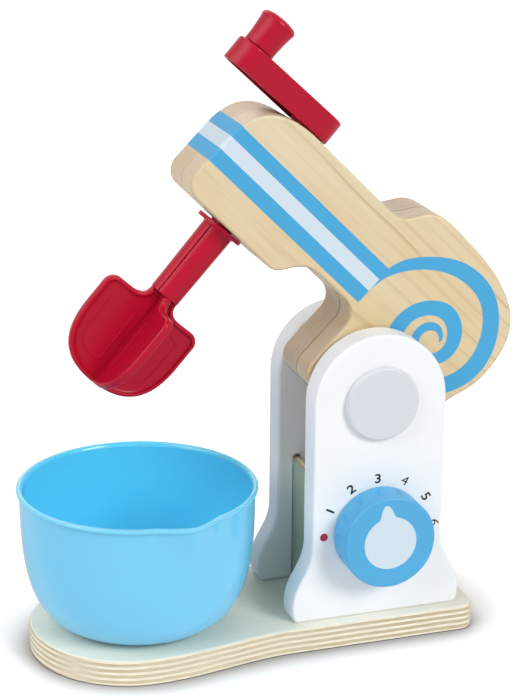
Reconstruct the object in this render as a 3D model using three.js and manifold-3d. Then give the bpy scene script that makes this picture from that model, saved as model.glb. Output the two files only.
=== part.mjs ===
// Wooden toy stand mixer: a tilting pine head between two painted uprights on a plywood base,
// with a hand crank that turns the beater, a clicking dial and a loose bowl.
// Millimetres, +Z up. X runs from the bowl (-) to the back of the column (+), and the dial faces -Y.
// The origin lies on the underside of the base board, straight below the head's pivot.

import * as THREE from 'three';
import { mergeVertices } from 'three/addons/utils/BufferGeometryUtils.js';
import Module from 'manifold-3d';

const wasm = await Module();
wasm.setup();

// Fits and cutting
const runningGap = 0.3; // between a piece and the seat, bore or shaft that it moves on
const overrun = 1; // how far a cut runs past the face that it opens
const turn = THREE.MathUtils.degToRad;

// Roundness, as the number of flat sides or steps
const boreSides = 12;
const discSides = 32;
const curveSteps = 6;
const easeSteps = 2;
const smallEaseSteps = 1; // where an edge is only just broken

// Base board
const baseThickness = 13;
const bowlEndRadius = 49;
const bowlEndReach = 116; // from the pivot out to the middle of the round end
const columnEndHalf = 38.8;
const columnEndReach = 51.3;
const columnEndCorner = 8;
const waistReach = 45; // where the straight edge beside the column starts
const waistHandleShares = [0.38, 0.32];
const baseEase = 1.2;

// Head: two pine boards glued face to face, measured from the pivot with the head level
const dialSideBoard = 14;
const farSideBoard = 21;
const headEase = 1.6;
const headTop = 69.2;
const headUnderside = 10.7;
const noseReach = 142.3;
const noseCorner = 9;
const noseCurveReach = 34.3;
const noseCurveDrop = 27.2;
const noseHandleShares = [0.465, 0.858];
const stepReach = 84; // where the underside starts to rise towards the neck
const stepRun = 22;
const stepRise = 13.6;
const stepHandleShares = [0.41, 0.64];
const throatRadius = 9.5;
const neckHalf = 34;
const neckDrop = 17;
const neckCorner = 8.5;
const tailFlareStart = 8;
const tailBellyReach = 41.3;
const tailBellyHeight = 45;
const tailHandleShares = [0.56, 0.42];
const crestHeight = 85.4;
const crestStart = 20; // the level crest lies between these two distances in front of the pivot
const crestEnd = 27;
const crestHandleShares = [0.71, 0.747];
const bumpFoot = 57;
const bumpHandleShares = [0.72, 0.5];
const raisedTilt = 45; // degrees from level to the raised rest position

// Pivot bolt and what it clamps
const boltRadius = 3;
const boltHeadAcross = 5.6; // centre to corner of the hexagon
const boltHeadHeight = 4;
const nutAcross = 5.6;
const nutHeight = 5;
const boltRecessRadius = 9;
const boltRecessDepth = 8;
const boltWasherRadius = 7;
const boltWasherThickness = 1;
const frictionWasherRadius = 13;
const frictionWasherThickness = 1;
const washerPlay = 0.25;
const boltEndShare = 0.8; // of the nut's height that the thread fills

// Uprights
const uprightThickness = 14;
const pivotHeight = 122.7;
const uprightHalf = 33.6;
const footHalf = 43.6;
const flareTop = 52;
const footBelly = 20;
const footCorner = 3;
const footCornerShares = [0.7, 0.5];
const flareHandleShares = [0.44, 0.44];
const uprightEase = 1.5;

// Round caps over the bolt's ends
const capRadius = 18.3;
const capThickness = 3.4;
const capEase = 1.4;
const capSpigotLength = 1.5;

// Thin panels that close the column, slid into grooves in the uprights
const panelThickness = 4;
const panelReach = 25.5; // from the pivot out to the panel's outer face
const panelTop = 78;
const grooveDepth = 4;
const grooveHeadroom = 2.6; // above the panel, up to the groove's round end

// Dowel that stops the head level and raised
const dowelRadius = 4;
const dowelSeatDepth = 5;

// Base screws
const screwRadius = 2;
const screwHeadRadius = 4;
const screwHeadHeight = 2.6;
const screwSink = 0.5; // the heads lie this far inside the base
const screwLength = 32;
const screwTip = 4;
const screwReach = 28;

// Shaft, crank and beater, measured along the shaft from the middle of the head
const shaftReach = 110.2;
const shaftLean = 3.3; // degrees that the bore leans off square, its lower end towards the column
const boreRadius = 6.8;
const stemRadius = 6;
const stemSquareHalf = 3.6;
const stemSquareLength = 9;
const flangeRadius = 12.3;
const flangeThickness = 1.9;
const sleeveTopRadius = 8.2;
const sleeveEndRadius = 7.7;
const sleeveLength = 39.6;
const sleeveBoreRadius = 5.6;
const sleeveBoreDepth = 28;
const slitWidth = 0.7;
const slitDepth = 0.9;
const slitAngle = 219; // degrees round the shaft, midway between two blades
const tongueLength = 24; // up the sleeve's bore
const tongueThickness = 3;
const bladeHalf = 28.3;
const bladeShoulder = 6; // below the sleeve's end
const bladeCorner = 5.5;
const bladeHeight = 52.6; // from the sleeve's end to the tip
const bladeHubHalf = 7.6;
const bladeHubRun = 7.4;
const bladeHubHandleShares = [0.8, 0.5];
const bladeRoundHeight = 29;
const bladeRoundHandleShares = [0.72, 0.64];
const bladeWeb = 1.8;
const bladeRimWidth = 2.3;
const bladeRimThickness = 4.2;
const bladeCount = 2; // crossed blades
const bladeTurn = 0; // degrees

// Crank arm, hollow from below, and its knob
const crankTurn = 193.5; // degrees round the shaft, from the column side
const crankLength = 47.1;
const crankHubRadius = 13.5;
const crankEndRadius = 10;
const crankHeight = 12.2;
const crankEase = 1;
const crankWall = 2;
const crankRoof = 2.6;
const hubBossRadius = 7.4;
const pinBossRadius = 4.8;
const ribThickness = 1.6;
const ribHeight = 7;
const ribPlaceShares = [0.36, 0.6];
const crankScrewRadius = 1.7;
const crankScrewHeadRadius = 3.6;
const crankScrewHeadHeight = 2.2;
const crankScrewSink = 2.6;
const crankScrewLength = 14;
const knobHeight = 17.4;
const knobBaseRadius = 7.9;
const knobTopRadius = 9.1;
const knobEase = 2.6;
const knobFlareShares = [0.35, 0.75];
const knobDome = 1;
const pinRadius = 2.4;
const pinHeadRadius = 4.2;
const pinHeadHeight = 1.6;
const pinLength = 13;
const pinBarb = 0.5;
const pinBarbLength = 3;

// Dial and the click parts behind it
const dialHeight = 56.8;
const dialRadius = 23.1;
const dialDepth = 15.9;
const dialEase = 1.1;
const dialHubRadius = 6;
const dialRecessRadius = 17;
const dialRecessDepth = 6;
const notchCount = 14;
const notchRadius = 0.9;
const notchSides = 6;
const notchSpanShares = [0.22, 0.64]; // of the dial's depth
const notchTurn = 20.6; // degrees, as the dial stands in the rest position
const clickCount = 12; // stops in a turn, as far apart as the numbers
const dialScrewRadius = 2;
const dialScrewHeadRadius = 4.2;
const dialScrewHeadHeight = 2.4;
const dialScrewBite = 10;
const dialWasherRadius = 6;
const dialWasherThickness = 1;
const clickWheelRadius = 11.4;
const clickWheelLobe = 0.5;
const clickWheelThickness = 4;
const clickSpringThickness = 0.8;
const clickSpringSpan = 110; // degrees
const clickSpringWidth = 3;
const clickNoseRadius = 1.1;
const clickFootWidth = 3;
const clickFootPeg = 4;

// Bowl
const bowlHeight = 69.5;
const bowlReach = 111.5;
const bowlRimRadius = 58;
const bowlWallRadius = 56.6;
const bowlFootRadius = 26;
const bowlWall = 1.8;
const bowlBead = 2.6;
const bowlSideHandleShares = [0.52, 0.94];
const bowlProfileSteps = 8;
const bowlSides = 48;
const spoutAngle = -80; // degrees round the bowl from the column side
const spoutSpread = 14.5; // degrees to each side
const spoutPush = 4.8;
const spoutDepth = 22;
const spoutTipShare = 0.12;

// Worked out from the sizes above
const headThickness = dialSideBoard + farSideBoard;
const uprightGap = headThickness + 2 * (frictionWasherThickness + 2 * washerPlay);
const innerFace = uprightGap / 2;
const outerFace = innerFace + uprightThickness;
const headMiddle = (headTop + headUnderside) / 2;
const lean = turn(shaftLean);
const headHalfAlongShaft = (headTop - headUnderside) / 2 / Math.cos(lean);
const flangeTop = -headHalfAlongShaft - flangeRadius * Math.tan(lean) - runningGap;
const sleeveEnd = flangeTop - flangeThickness - sleeveLength;
const crankBottom = headHalfAlongShaft + hubBossRadius * Math.tan(lean) + runningGap;
const crankTop = crankBottom + crankHeight;
const boltSeat = outerFace - boltRecessDepth;

// Surfaces and colours
const paint = (colour, roughness, metalness = 0) => ({ color: colour, roughness, metalness });
const pine = paint(0xe0cea5, 0.55);
const plywood = paint(0xcdd6c0, 0.6);
const whitePaint = paint(0xeef1f5, 0.5);
const bluePaint = paint(0x64b3df, 0.45);
const redPlastic = paint(0xb8243c, 0.35);
const bowlPlastic = paint(0x7accf2, 0.3);
const capPlastic = paint(0xe4e3ee, 0.4);
const innerPlastic = paint(0xe8e8e4, 0.5);
const dowelWood = paint(0xd8c092, 0.7);
const fibre = paint(0x8a6a4a, 0.85);
const zincSteel = paint(0xb9bdc2, 0.35, 1);

// Solids: a closed geometry becomes a solid for cuts and joins, and comes back as a geometry
function toSolid(geometry) {
  const bare = geometry.index ? geometry.toNonIndexed() : geometry.clone();
  bare.deleteAttribute('normal');
  bare.deleteAttribute('uv');
  const merged = mergeVertices(bare);
  const corners = merged.index.array;
  const kept = [];
  for (let i = 0; i < corners.length; i += 3) {
    const [a, b, c] = corners.slice(i, i + 3);
    if (a !== b && b !== c && c !== a) kept.push(a, b, c);
  }
  const vertProperties = Float32Array.from(merged.attributes.position.array);
  const mesh = new wasm.Mesh({ numProp: 3, vertProperties, triVerts: Uint32Array.from(kept) });
  return new wasm.Manifold(mesh);
}

function toGeometry(solid) {
  const mesh = solid.getMesh();
  const geometry = new THREE.BufferGeometry();
  const position = new THREE.BufferAttribute(Float32Array.from(mesh.vertProperties), 3);
  geometry.setAttribute('position', position);
  geometry.setIndex(Array.from(mesh.triVerts));
  geometry.computeVertexNormals();
  return geometry;
}

const joined = (...geometries) => geometries.map(toSolid).reduce((sum, next) => sum.add(next));
const cut = (geometry, ...tools) => toGeometry(
  tools.map(toSolid).reduce((left, tool) => left.subtract(tool), toSolid(geometry)));
const join = (...geometries) => toGeometry(joined(...geometries));
const common = (a, b) => toGeometry(toSolid(a).intersect(toSolid(b)));

// Basic forms
const alongY = (radius, length, sides = boreSides) =>
  new THREE.CylinderGeometry(radius, radius, length, sides);
const alongZ = (radius, length, sides = boreSides) =>
  alongY(radius, length, sides).rotateX(Math.PI / 2);

// A board lies in XY from z = 0, with its outer edges eased round
function board(outline, thickness, ease, steps = easeSteps) {
  const geometry = new THREE.ExtrudeGeometry(outline, {
    depth: thickness - 2 * ease,
    bevelEnabled: ease > 0,
    bevelThickness: ease,
    bevelSize: ease,
    bevelOffset: -ease,
    bevelSegments: steps,
    curveSegments: curveSteps,
  });
  return geometry.translate(0, 0, ease);
}

// Stands a board up, so that its outline lies in XZ and it runs from the given Y towards the far side
const standing = (geometry, thickness, dialSideY) =>
  geometry.rotateX(Math.PI / 2).translate(0, dialSideY + thickness, 0);

// Turns a profile of [radius, height] points about Z
function revolved(points, sides) {
  const profile = points.map(([radius, height]) => new THREE.Vector2(radius, height));
  return new THREE.LatheGeometry(profile, sides).rotateX(Math.PI / 2).scale(1, -1, 1);
}

// The profile runs up the outside from the axis, so turning it over keeps the faces outwards
function turned(points, sides) {
  const geometry = revolved(points, sides);
  const { index } = geometry;
  for (let i = 0; i < index.count; i += 3) {
    const first = index.getX(i);
    index.setX(i, index.getX(i + 2));
    index.setX(i + 2, first);
  }
  return geometry;
}

const ring = (inner, outer, thickness, sides = discSides) => turned([
  [inner, 0],
  [outer, 0],
  [outer, thickness],
  [inner, thickness],
  [inner, 0],
], sides);

// Quarter round of a profile, from one angle to another in degrees
function roundPoints(centreRadius, centreHeight, radius, fromAngle, toAngle, steps = easeSteps + 1) {
  return Array.from({ length: steps + 1 }, (_, i) => {
    const angle = turn(fromAngle + ((toAngle - fromAngle) * i) / steps);
    return [centreRadius + radius * Math.cos(angle), centreHeight + radius * Math.sin(angle)];
  });
}

const reversed = (shares) => [...shares].reverse();

// Curve that leaves along one axis and arrives along one axis, with handles as shares of its run
function curveTo(path, x, y, leaveAlong, arriveAlong, [leaveShare, arriveShare]) {
  const from = path.currentPoint.clone();
  const to = new THREE.Vector2(x, y);
  const leave = from.clone();
  const arrive = to.clone();
  leave[leaveAlong] += (to[leaveAlong] - from[leaveAlong]) * leaveShare;
  arrive[arriveAlong] -= (to[arriveAlong] - from[arriveAlong]) * arriveShare;
  path.bezierCurveTo(leave.x, leave.y, arrive.x, arrive.y, x, y);
}

// Countersunk or flat-headed screw standing on its head, from z = 0 to its tip
function screw(radius, headRadius, headHeight, length, tipLength, countersunk) {
  const headEdge = countersunk ? [headRadius, 0] : [headRadius, headHeight];
  const start = countersunk ? [[0, 0], headEdge] : [[0, 0], [headRadius, 0], headEdge];
  return turned([
    ...start,
    [radius, headHeight],
    [radius, length - tipLength],
    [0, length],
  ], boreSides);
}

// Base board

function baseOutline() {
  const shape = new THREE.Shape();
  shape.moveTo(-waistReach, -columnEndHalf);
  shape.lineTo(columnEndReach - columnEndCorner, -columnEndHalf);
  const cornerX = columnEndReach - columnEndCorner;
  const cornerY = columnEndHalf - columnEndCorner;
  shape.absarc(cornerX, -cornerY, columnEndCorner, turn(-90), 0, false);
  shape.absarc(cornerX, cornerY, columnEndCorner, 0, turn(90), false);
  shape.lineTo(-waistReach, columnEndHalf);
  curveTo(shape, -bowlEndReach, bowlEndRadius, 'x', 'x', reversed(waistHandleShares));
  // The round end is drawn as two quarters, so that it gets enough steps
  shape.absarc(-bowlEndReach, 0, bowlEndRadius, turn(90), turn(180), false);
  shape.absarc(-bowlEndReach, 0, bowlEndRadius, turn(180), turn(270), false);
  curveTo(shape, -waistReach, -columnEndHalf, 'x', 'x', waistHandleShares);
  return shape;
}

// Every base screw stands in the middle of an upright's thickness
const screwPlaces = [-1, 1].flatMap((side) => [-1, 1].map((end) => ({
  x: end * screwReach,
  y: side * (innerFace + uprightThickness / 2),
})));

const baseScrewHole = ({ x, y }) => alongZ(screwRadius + runningGap, baseThickness + 2 * overrun)
  .translate(x, y, baseThickness / 2);

function baseScrewSeat({ x, y }) {
  const wide = screwHeadRadius + runningGap;
  const narrow = screwRadius + runningGap;
  const seat = turned([
    [0, -overrun],
    [wide, -overrun],
    [wide, screwSink],
    [narrow, screwSink + screwHeadHeight + runningGap],
    [0, screwSink + screwHeadHeight + runningGap],
  ], boreSides);
  return seat.translate(x, y, 0);
}

const baseBoard = () => cut(
  board(baseOutline(), baseThickness, baseEase, smallEaseSteps),
  ...screwPlaces.map(baseScrewHole),
  ...screwPlaces.map(baseScrewSeat));

// Uprights

function uprightOutline() {
  const shape = new THREE.Shape();
  shape.moveTo(-footHalf + footCorner, baseThickness);
  shape.lineTo(footHalf - footCorner, baseThickness);
  curveTo(shape, footHalf, footBelly, 'x', 'y', footCornerShares);
  curveTo(shape, uprightHalf, flareTop, 'y', 'y', flareHandleShares);
  shape.lineTo(uprightHalf, pivotHeight);
  shape.absarc(0, pivotHeight, uprightHalf, 0, turn(90), false);
  shape.absarc(0, pivotHeight, uprightHalf, turn(90), turn(180), false);
  shape.lineTo(-uprightHalf, flareTop);
  curveTo(shape, -footHalf, footBelly, 'y', 'y', flareHandleShares);
  curveTo(shape, -footHalf + footCorner, baseThickness, 'y', 'x', reversed(footCornerShares));
  return shape;
}

// Groove for a panel, cut into the inner face of the upright on the given side
function panelGroove(side, end) {
  const width = panelThickness + 2 * runningGap;
  const middle = end * (panelReach - panelThickness / 2);
  const roundCentre = panelTop + grooveHeadroom - width / 2;
  const depth = grooveDepth + overrun;
  const y = side * (innerFace + grooveDepth - depth / 2);
  const straight = new THREE.BoxGeometry(width, depth, roundCentre)
    .translate(middle, y, roundCentre / 2);
  const roundEnd = alongY(width / 2, depth).translate(middle, y, roundCentre);
  return join(straight, roundEnd);
}

// The dowel touches the neck's flat underside at both ends of the tilt
const dowelOff = (neckDrop + runningGap + dowelRadius) / Math.cos(turn(raisedTilt / 2));
const dowelX = -dowelOff * Math.sin(turn(raisedTilt / 2));
const dowelZ = pivotHeight - dowelOff * Math.cos(turn(raisedTilt / 2));

function upright(side) {
  const near = side < 0 ? -outerFace : innerFace;
  const blank = standing(board(uprightOutline(), uprightThickness, uprightEase), uprightThickness, near);
  const middle = side * (innerFace + uprightThickness / 2);
  const through = uprightThickness + 2 * overrun;
  const boltHole = alongY(boltRadius + runningGap, through).translate(0, middle, pivotHeight);
  const recessDepth = boltRecessDepth + overrun;
  const recess = alongY(boltRecessRadius, recessDepth, discSides)
    .translate(0, side * (boltSeat + recessDepth / 2), pivotHeight);
  const seatDepth = dowelSeatDepth + overrun;
  const dowelSeat = alongY(dowelRadius + runningGap, seatDepth)
    .translate(dowelX, side * (innerFace + dowelSeatDepth - seatDepth / 2), dowelZ);
  const screwHoles = screwPlaces
    .filter(({ y }) => y * side > 0)
    .map(({ x, y }) => alongZ(screwRadius + runningGap, screwLength)
      .translate(x, y, screwSink + runningGap + screwLength / 2));
  const grooves = [panelGroove(side, -1), panelGroove(side, 1)];
  const tools = [boltHole, recess, dowelSeat, ...grooves, ...screwHoles];
  if (side < 0) {
    tools.push(alongY(dialScrewRadius + runningGap, through).translate(0, middle, dialHeight));
    tools.push(clickPegHole());
  }
  return cut(blank, ...tools);
}

// Column fittings

function panel(end) {
  const width = uprightGap + 2 * (grooveDepth - runningGap);
  const height = panelTop - baseThickness;
  return new THREE.BoxGeometry(panelThickness, width, height)
    .translate(end * (panelReach - panelThickness / 2), 0, baseThickness + height / 2);
}

function stopDowel() {
  const length = uprightGap + 2 * (dowelSeatDepth - runningGap);
  return alongY(dowelRadius, length, discSides / 2).translate(dowelX, 0, dowelZ);
}

const baseScrew = ({ x, y }) =>
  screw(screwRadius, screwHeadRadius, screwHeadHeight, screwLength, screwTip, true)
    .translate(x, y, screwSink);

// Ring round the pivot, from the given Y towards the far side
const pivotRing = (inner, outer, thickness, y, sides) => ring(inner, outer, thickness, sides)
  .rotateX(-Math.PI / 2)
  .translate(0, y, pivotHeight);

function pivotBolt() {
  const shankEnd = boltSeat + boltWasherThickness + nutHeight * boltEndShare;
  const headSeat = -boltSeat - boltWasherThickness;
  const shank = alongY(boltRadius, shankEnd - headSeat).translate(0, (shankEnd + headSeat) / 2, 0);
  const head = alongY(boltHeadAcross, boltHeadHeight, 6).translate(0, headSeat - boltHeadHeight / 2, 0);
  return join(shank, head).translate(0, 0, pivotHeight);
}

function pivotNut() {
  const blank = alongY(nutAcross, nutHeight, 6);
  const thread = alongY(boltRadius + runningGap / 2, nutHeight + 2 * overrun);
  return cut(blank, thread).translate(0, boltSeat + boltWasherThickness + nutHeight / 2, pivotHeight);
}

// A cap is a round disc with an eased rim and a spigot that plugs the bolt's recess
function pivotCap(side) {
  const spigotRadius = boltRecessRadius - runningGap;
  const geometry = turned([
    [0, -capSpigotLength],
    [spigotRadius, -capSpigotLength],
    [spigotRadius, 0],
    [capRadius, 0],
    ...roundPoints(capRadius - capEase, capThickness - capEase, capEase, 0, 90),
    [0, capThickness],
  ], discSides);
  const outwards = side < 0 ? Math.PI / 2 : -Math.PI / 2;
  return geometry.rotateX(outwards).translate(0, side * outerFace, pivotHeight);
}

// Head

function headOutline() {
  const shape = new THREE.Shape();
  const stepTop = headUnderside + stepRise;
  const noseX = -noseReach + noseCorner;
  shape.moveTo(noseX, headUnderside);
  shape.lineTo(-stepReach, headUnderside);
  curveTo(shape, -stepReach + stepRun, stepTop, 'x', 'x', stepHandleShares);
  shape.lineTo(-neckHalf - throatRadius, stepTop);
  shape.absarc(-neckHalf - throatRadius, stepTop - throatRadius, throatRadius, turn(90), 0, true);
  shape.absarc(-neckHalf + neckCorner, -neckDrop + neckCorner, neckCorner, turn(180), turn(270), false);
  shape.absarc(neckHalf - neckCorner, -neckDrop + neckCorner, neckCorner, turn(270), turn(360), false);
  shape.lineTo(neckHalf, tailFlareStart);
  curveTo(shape, tailBellyReach, tailBellyHeight, 'y', 'y', tailHandleShares);
  curveTo(shape, -crestStart, crestHeight, 'y', 'x', crestHandleShares);
  shape.lineTo(-crestEnd, crestHeight);
  curveTo(shape, -bumpFoot, headTop, 'x', 'x', bumpHandleShares);
  shape.lineTo(-noseReach + noseCurveReach, headTop);
  curveTo(shape, -noseReach, headTop - noseCurveDrop, 'x', 'y', noseHandleShares);
  shape.lineTo(-noseReach, headUnderside + noseCorner);
  shape.absarc(noseX, headUnderside + noseCorner, noseCorner, turn(180), turn(270), false);
  return shape;
}

// One board of the head, cut from the whole form so that both share every outer edge
function headBoard(fromY, toY) {
  const blank = standing(board(headOutline(), headThickness, headEase), headThickness, -headThickness / 2);
  const reach = noseReach + tailBellyReach;
  const slice = new THREE.BoxGeometry(2 * reach, toY - fromY, 2 * reach)
    .translate(0, (fromY + toY) / 2, 0);
  const boltHole = alongY(boltRadius + runningGap, headThickness + 2 * overrun);
  const shaftBore = alongZ(boreRadius, 2 * crestHeight, discSides / 2)
    .rotateY(-lean)
    .translate(-shaftReach, 0, headMiddle);
  return cut(common(blank, slice), boltHole, shaftBore);
}

const gluePlane = -headThickness / 2 + dialSideBoard;

// Beater: a flanged shaft with a sleeve, and crossed blades with raised rims pushed into it

function beaterShaft() {
  const sleeveTop = flangeTop - flangeThickness;
  const body = turned([
    [0, sleeveEnd + sleeveBoreDepth],
    [sleeveBoreRadius, sleeveEnd + sleeveBoreDepth],
    [sleeveBoreRadius, sleeveEnd],
    [sleeveEndRadius, sleeveEnd],
    [sleeveTopRadius, sleeveTop],
    [flangeRadius, sleeveTop],
    [flangeRadius, flangeTop],
    [stemRadius, flangeTop],
    [stemRadius, crankBottom - runningGap],
    [0, crankBottom - runningGap],
  ], discSides);
  const squareFrom = crankBottom - runningGap - overrun;
  const squareTo = crankBottom + stemSquareLength;
  const square = new THREE.BoxGeometry(2 * stemSquareHalf, 2 * stemSquareHalf, squareTo - squareFrom)
    .translate(0, 0, (squareFrom + squareTo) / 2);
  const pilot = alongZ(crankScrewRadius + runningGap, crankScrewLength)
    .translate(0, 0, crankTop - crankScrewSink - crankScrewLength / 2);
  const slitLength = sleeveLength + 2 * overrun;
  const slitReach = sleeveEndRadius - slitDepth + sleeveTopRadius / 2;
  const slit = new THREE.BoxGeometry(sleeveTopRadius, slitWidth, slitLength)
    .translate(slitReach, 0, sleeveTop - slitLength / 2)
    .rotateZ(turn(slitAngle));
  return cut(join(body, square), pilot, slit);
}

// Half-symmetric outline of a blade, drawn below the sleeve's end and drawn in by the inset
function bladeOutline(inset) {
  const half = bladeHalf - inset;
  const top = inset;
  const shoulder = bladeShoulder + inset;
  const corner = bladeCorner - inset;
  const tip = bladeHeight - inset;
  const roundStart = bladeHeight - bladeRoundHeight;
  const hub = bladeHubHalf - inset;
  const hubEnd = bladeHubHalf + bladeHubRun;
  const shape = new THREE.Shape();
  shape.moveTo(-hub, -top);
  curveTo(shape, -hubEnd, -shoulder, 'y', 'x', bladeHubHandleShares);
  shape.lineTo(-half + corner, -shoulder);
  shape.absarc(-half + corner, -shoulder - corner, corner, turn(90), turn(180), false);
  shape.lineTo(-half, -roundStart);
  curveTo(shape, 0, -tip, 'y', 'x', bladeRoundHandleShares);
  curveTo(shape, half, -roundStart, 'x', 'y', reversed(bladeRoundHandleShares));
  shape.absarc(half - corner, -shoulder - corner, corner, 0, turn(90), false);
  shape.lineTo(hubEnd, -shoulder);
  curveTo(shape, hub, -top, 'x', 'y', reversed(bladeHubHandleShares));
  return shape;
}

function blade() {
  const web = standing(board(bladeOutline(0), bladeWeb, 0), bladeWeb, -bladeWeb / 2);
  const full = board(bladeOutline(0), bladeRimThickness, bladeWeb / 2, smallEaseSteps);
  const whole = standing(full, bladeRimThickness, -bladeRimThickness / 2);
  const deep = bladeRimThickness + 2 * overrun;
  const inner = standing(board(bladeOutline(bladeRimWidth), deep, 0), deep, -deep / 2);
  return join(cut(whole, inner), web);
}

function beaterBlades() {
  const blades = Array.from({ length: bladeCount }, (_, i) =>
    blade().rotateZ(turn(bladeTurn + (180 / bladeCount) * i)));
  // A tongue on each blade fills the bore's width, so its corners keep the running gap
  const cornerReach = sleeveBoreRadius * Math.cos(Math.PI / discSides) - runningGap;
  const tongueHalf = Math.sqrt(cornerReach ** 2 - (tongueThickness / 2) ** 2);
  const tongues = Array.from({ length: bladeCount }, (_, i) =>
    new THREE.BoxGeometry(2 * tongueHalf, tongueThickness, tongueLength + overrun)
      .translate(0, 0, (tongueLength - overrun) / 2)
      .rotateZ(turn(bladeTurn + (180 / bladeCount) * i)));
  return join(...blades, ...tongues).translate(0, 0, sleeveEnd - runningGap);
}

// Crank

// Outline of two circles, one round the shaft and one round the knob, with their outer tangents
function crankOutline(hubRadius, endRadius) {
  const tangent = Math.acos((hubRadius - endRadius) / crankLength);
  const shape = new THREE.Shape();
  shape.moveTo(hubRadius * Math.cos(tangent), hubRadius * Math.sin(tangent));
  shape.absarc(0, 0, hubRadius, tangent, Math.PI, false);
  shape.absarc(0, 0, hubRadius, Math.PI, 2 * Math.PI - tangent, false);
  shape.absarc(crankLength, 0, endRadius, -tangent, 0, false);
  shape.absarc(crankLength, 0, endRadius, 0, tangent, false);
  return shape;
}

function crankArm() {
  const around = crankOutline(crankHubRadius, crankEndRadius);
  const outside = board(around, crankHeight + crankEase, crankEase, smallEaseSteps)
    .translate(0, 0, -crankEase);
  const reach = crankHubRadius + crankLength + crankEndRadius;
  const below = new THREE.BoxGeometry(2 * reach, 2 * reach, crankHeight)
    .translate(0, 0, -crankHeight / 2);
  const hollowHeight = crankHeight - crankRoof + overrun;
  const inside = crankOutline(crankHubRadius - crankWall, crankEndRadius - crankWall);
  const hollow = board(inside, hollowHeight, 0).translate(0, 0, -overrun);
  const shell = cut(outside, below, hollow);
  const roofTop = crankHeight - crankRoof + overrun;
  const hubBoss = alongZ(hubBossRadius, roofTop, discSides / 2).translate(0, 0, roofTop / 2);
  const pinBossFoot = crankHeight - crankRoof - ribHeight + pinHeadHeight;
  const pinBoss = alongZ(pinBossRadius + crankWall, roofTop - pinBossFoot, discSides / 2)
    .translate(crankLength, 0, (roofTop + pinBossFoot) / 2);
  const ribs = ribPlaceShares.map((share) => {
    const armHalf = crankHubRadius - (crankHubRadius - crankEndRadius) * share;
    const wide = 2 * armHalf - crankWall;
    return new THREE.BoxGeometry(ribThickness, wide, ribHeight + overrun)
      .translate(crankLength * share, 0, roofTop - (ribHeight + overrun) / 2);
  });
  const lengthRib = new THREE.BoxGeometry(crankLength, ribThickness, ribHeight + overrun)
    .translate(crankLength / 2, 0, roofTop - (ribHeight + overrun) / 2);
  const socketHalf = stemSquareHalf + runningGap;
  const socketTop = stemSquareLength + runningGap;
  const socket = new THREE.BoxGeometry(2 * socketHalf, 2 * socketHalf, socketTop + overrun)
    .rotateZ(-turn(crankTurn))
    .translate(0, 0, (socketTop - overrun) / 2);
  const screwHole = alongZ(crankScrewRadius + runningGap, crankHeight)
    .translate(0, 0, crankHeight / 2 + overrun);
  const screwSeatHeight = crankScrewSink + overrun;
  const screwSeat = alongZ(crankScrewHeadRadius + runningGap, screwSeatHeight)
    .translate(0, 0, crankHeight - crankScrewSink + screwSeatHeight / 2);
  const pinHole = alongZ(pinRadius + runningGap / 2, 2 * crankHeight)
    .translate(crankLength, 0, crankHeight);
  const pinSeat = alongZ(pinHeadRadius + runningGap, crankHeight)
    .translate(crankLength, 0, pinBossFoot + pinHeadHeight - crankHeight / 2);
  const solid = join(shell, hubBoss, pinBoss, ...ribs, lengthRib);
  return cut(solid, socket, screwHole, screwSeat, pinHole, pinSeat);
}

const pinSeatHeight = crankHeight - crankRoof - ribHeight + 2 * pinHeadHeight;

// Headed pin from inside the arm, with a barb in the knob's chamber
function knobPin() {
  const barbTop = crankHeight + pinLength;
  return turned([
    [0, pinSeatHeight - runningGap - pinHeadHeight],
    [pinHeadRadius, pinSeatHeight - runningGap - pinHeadHeight],
    [pinHeadRadius, pinSeatHeight - runningGap],
    [pinRadius - runningGap / 2, pinSeatHeight - runningGap],
    [pinRadius - runningGap / 2, barbTop - pinBarbLength],
    [pinRadius + pinBarb, barbTop - pinBarbLength],
    [pinRadius - pinBarb, barbTop],
    [0, barbTop],
  ], boreSides);
}

function crankKnob() {
  const chamberFrom = pinLength - pinBarbLength - runningGap;
  const chamberTo = pinLength + runningGap;
  const chamberRadius = pinRadius + pinBarb + runningGap;
  const flare = knobTopRadius - knobBaseRadius;
  const [waistShare, flareShare] = knobFlareShares;
  const rimCentre = knobHeight - knobEase;
  return turned([
    [0, chamberTo],
    [chamberRadius, chamberTo],
    [chamberRadius, chamberFrom],
    [pinRadius + runningGap / 2, chamberFrom],
    [pinRadius + runningGap / 2, 0],
    [knobBaseRadius, 0],
    [knobBaseRadius + flare * waistShare * waistShare, rimCentre * waistShare],
    [knobBaseRadius + flare * flareShare * flareShare, rimCentre * flareShare],
    ...roundPoints(knobTopRadius - knobEase, rimCentre - knobDome, knobEase, 0, 80),
    [0, knobHeight],
  ], discSides).translate(0, 0, crankHeight + runningGap);
}

// The screw hangs head up in its seat in the crank's hub
const crankScrew = () =>
  screw(crankScrewRadius, crankScrewHeadRadius, crankScrewHeadHeight, crankScrewLength, screwTip, false)
    .rotateX(Math.PI)
    .translate(0, 0, crankHeight - crankScrewSink + runningGap + crankScrewHeadHeight);

// Dial, seen from the front with its front face towards -Y

const dialBack = -outerFace - runningGap;

// Turns a piece that stands on z = 0 so that it stands out from the upright's outer face
const onDialFace = (geometry) => geometry.rotateX(Math.PI / 2).translate(0, dialBack, dialHeight);

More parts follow.
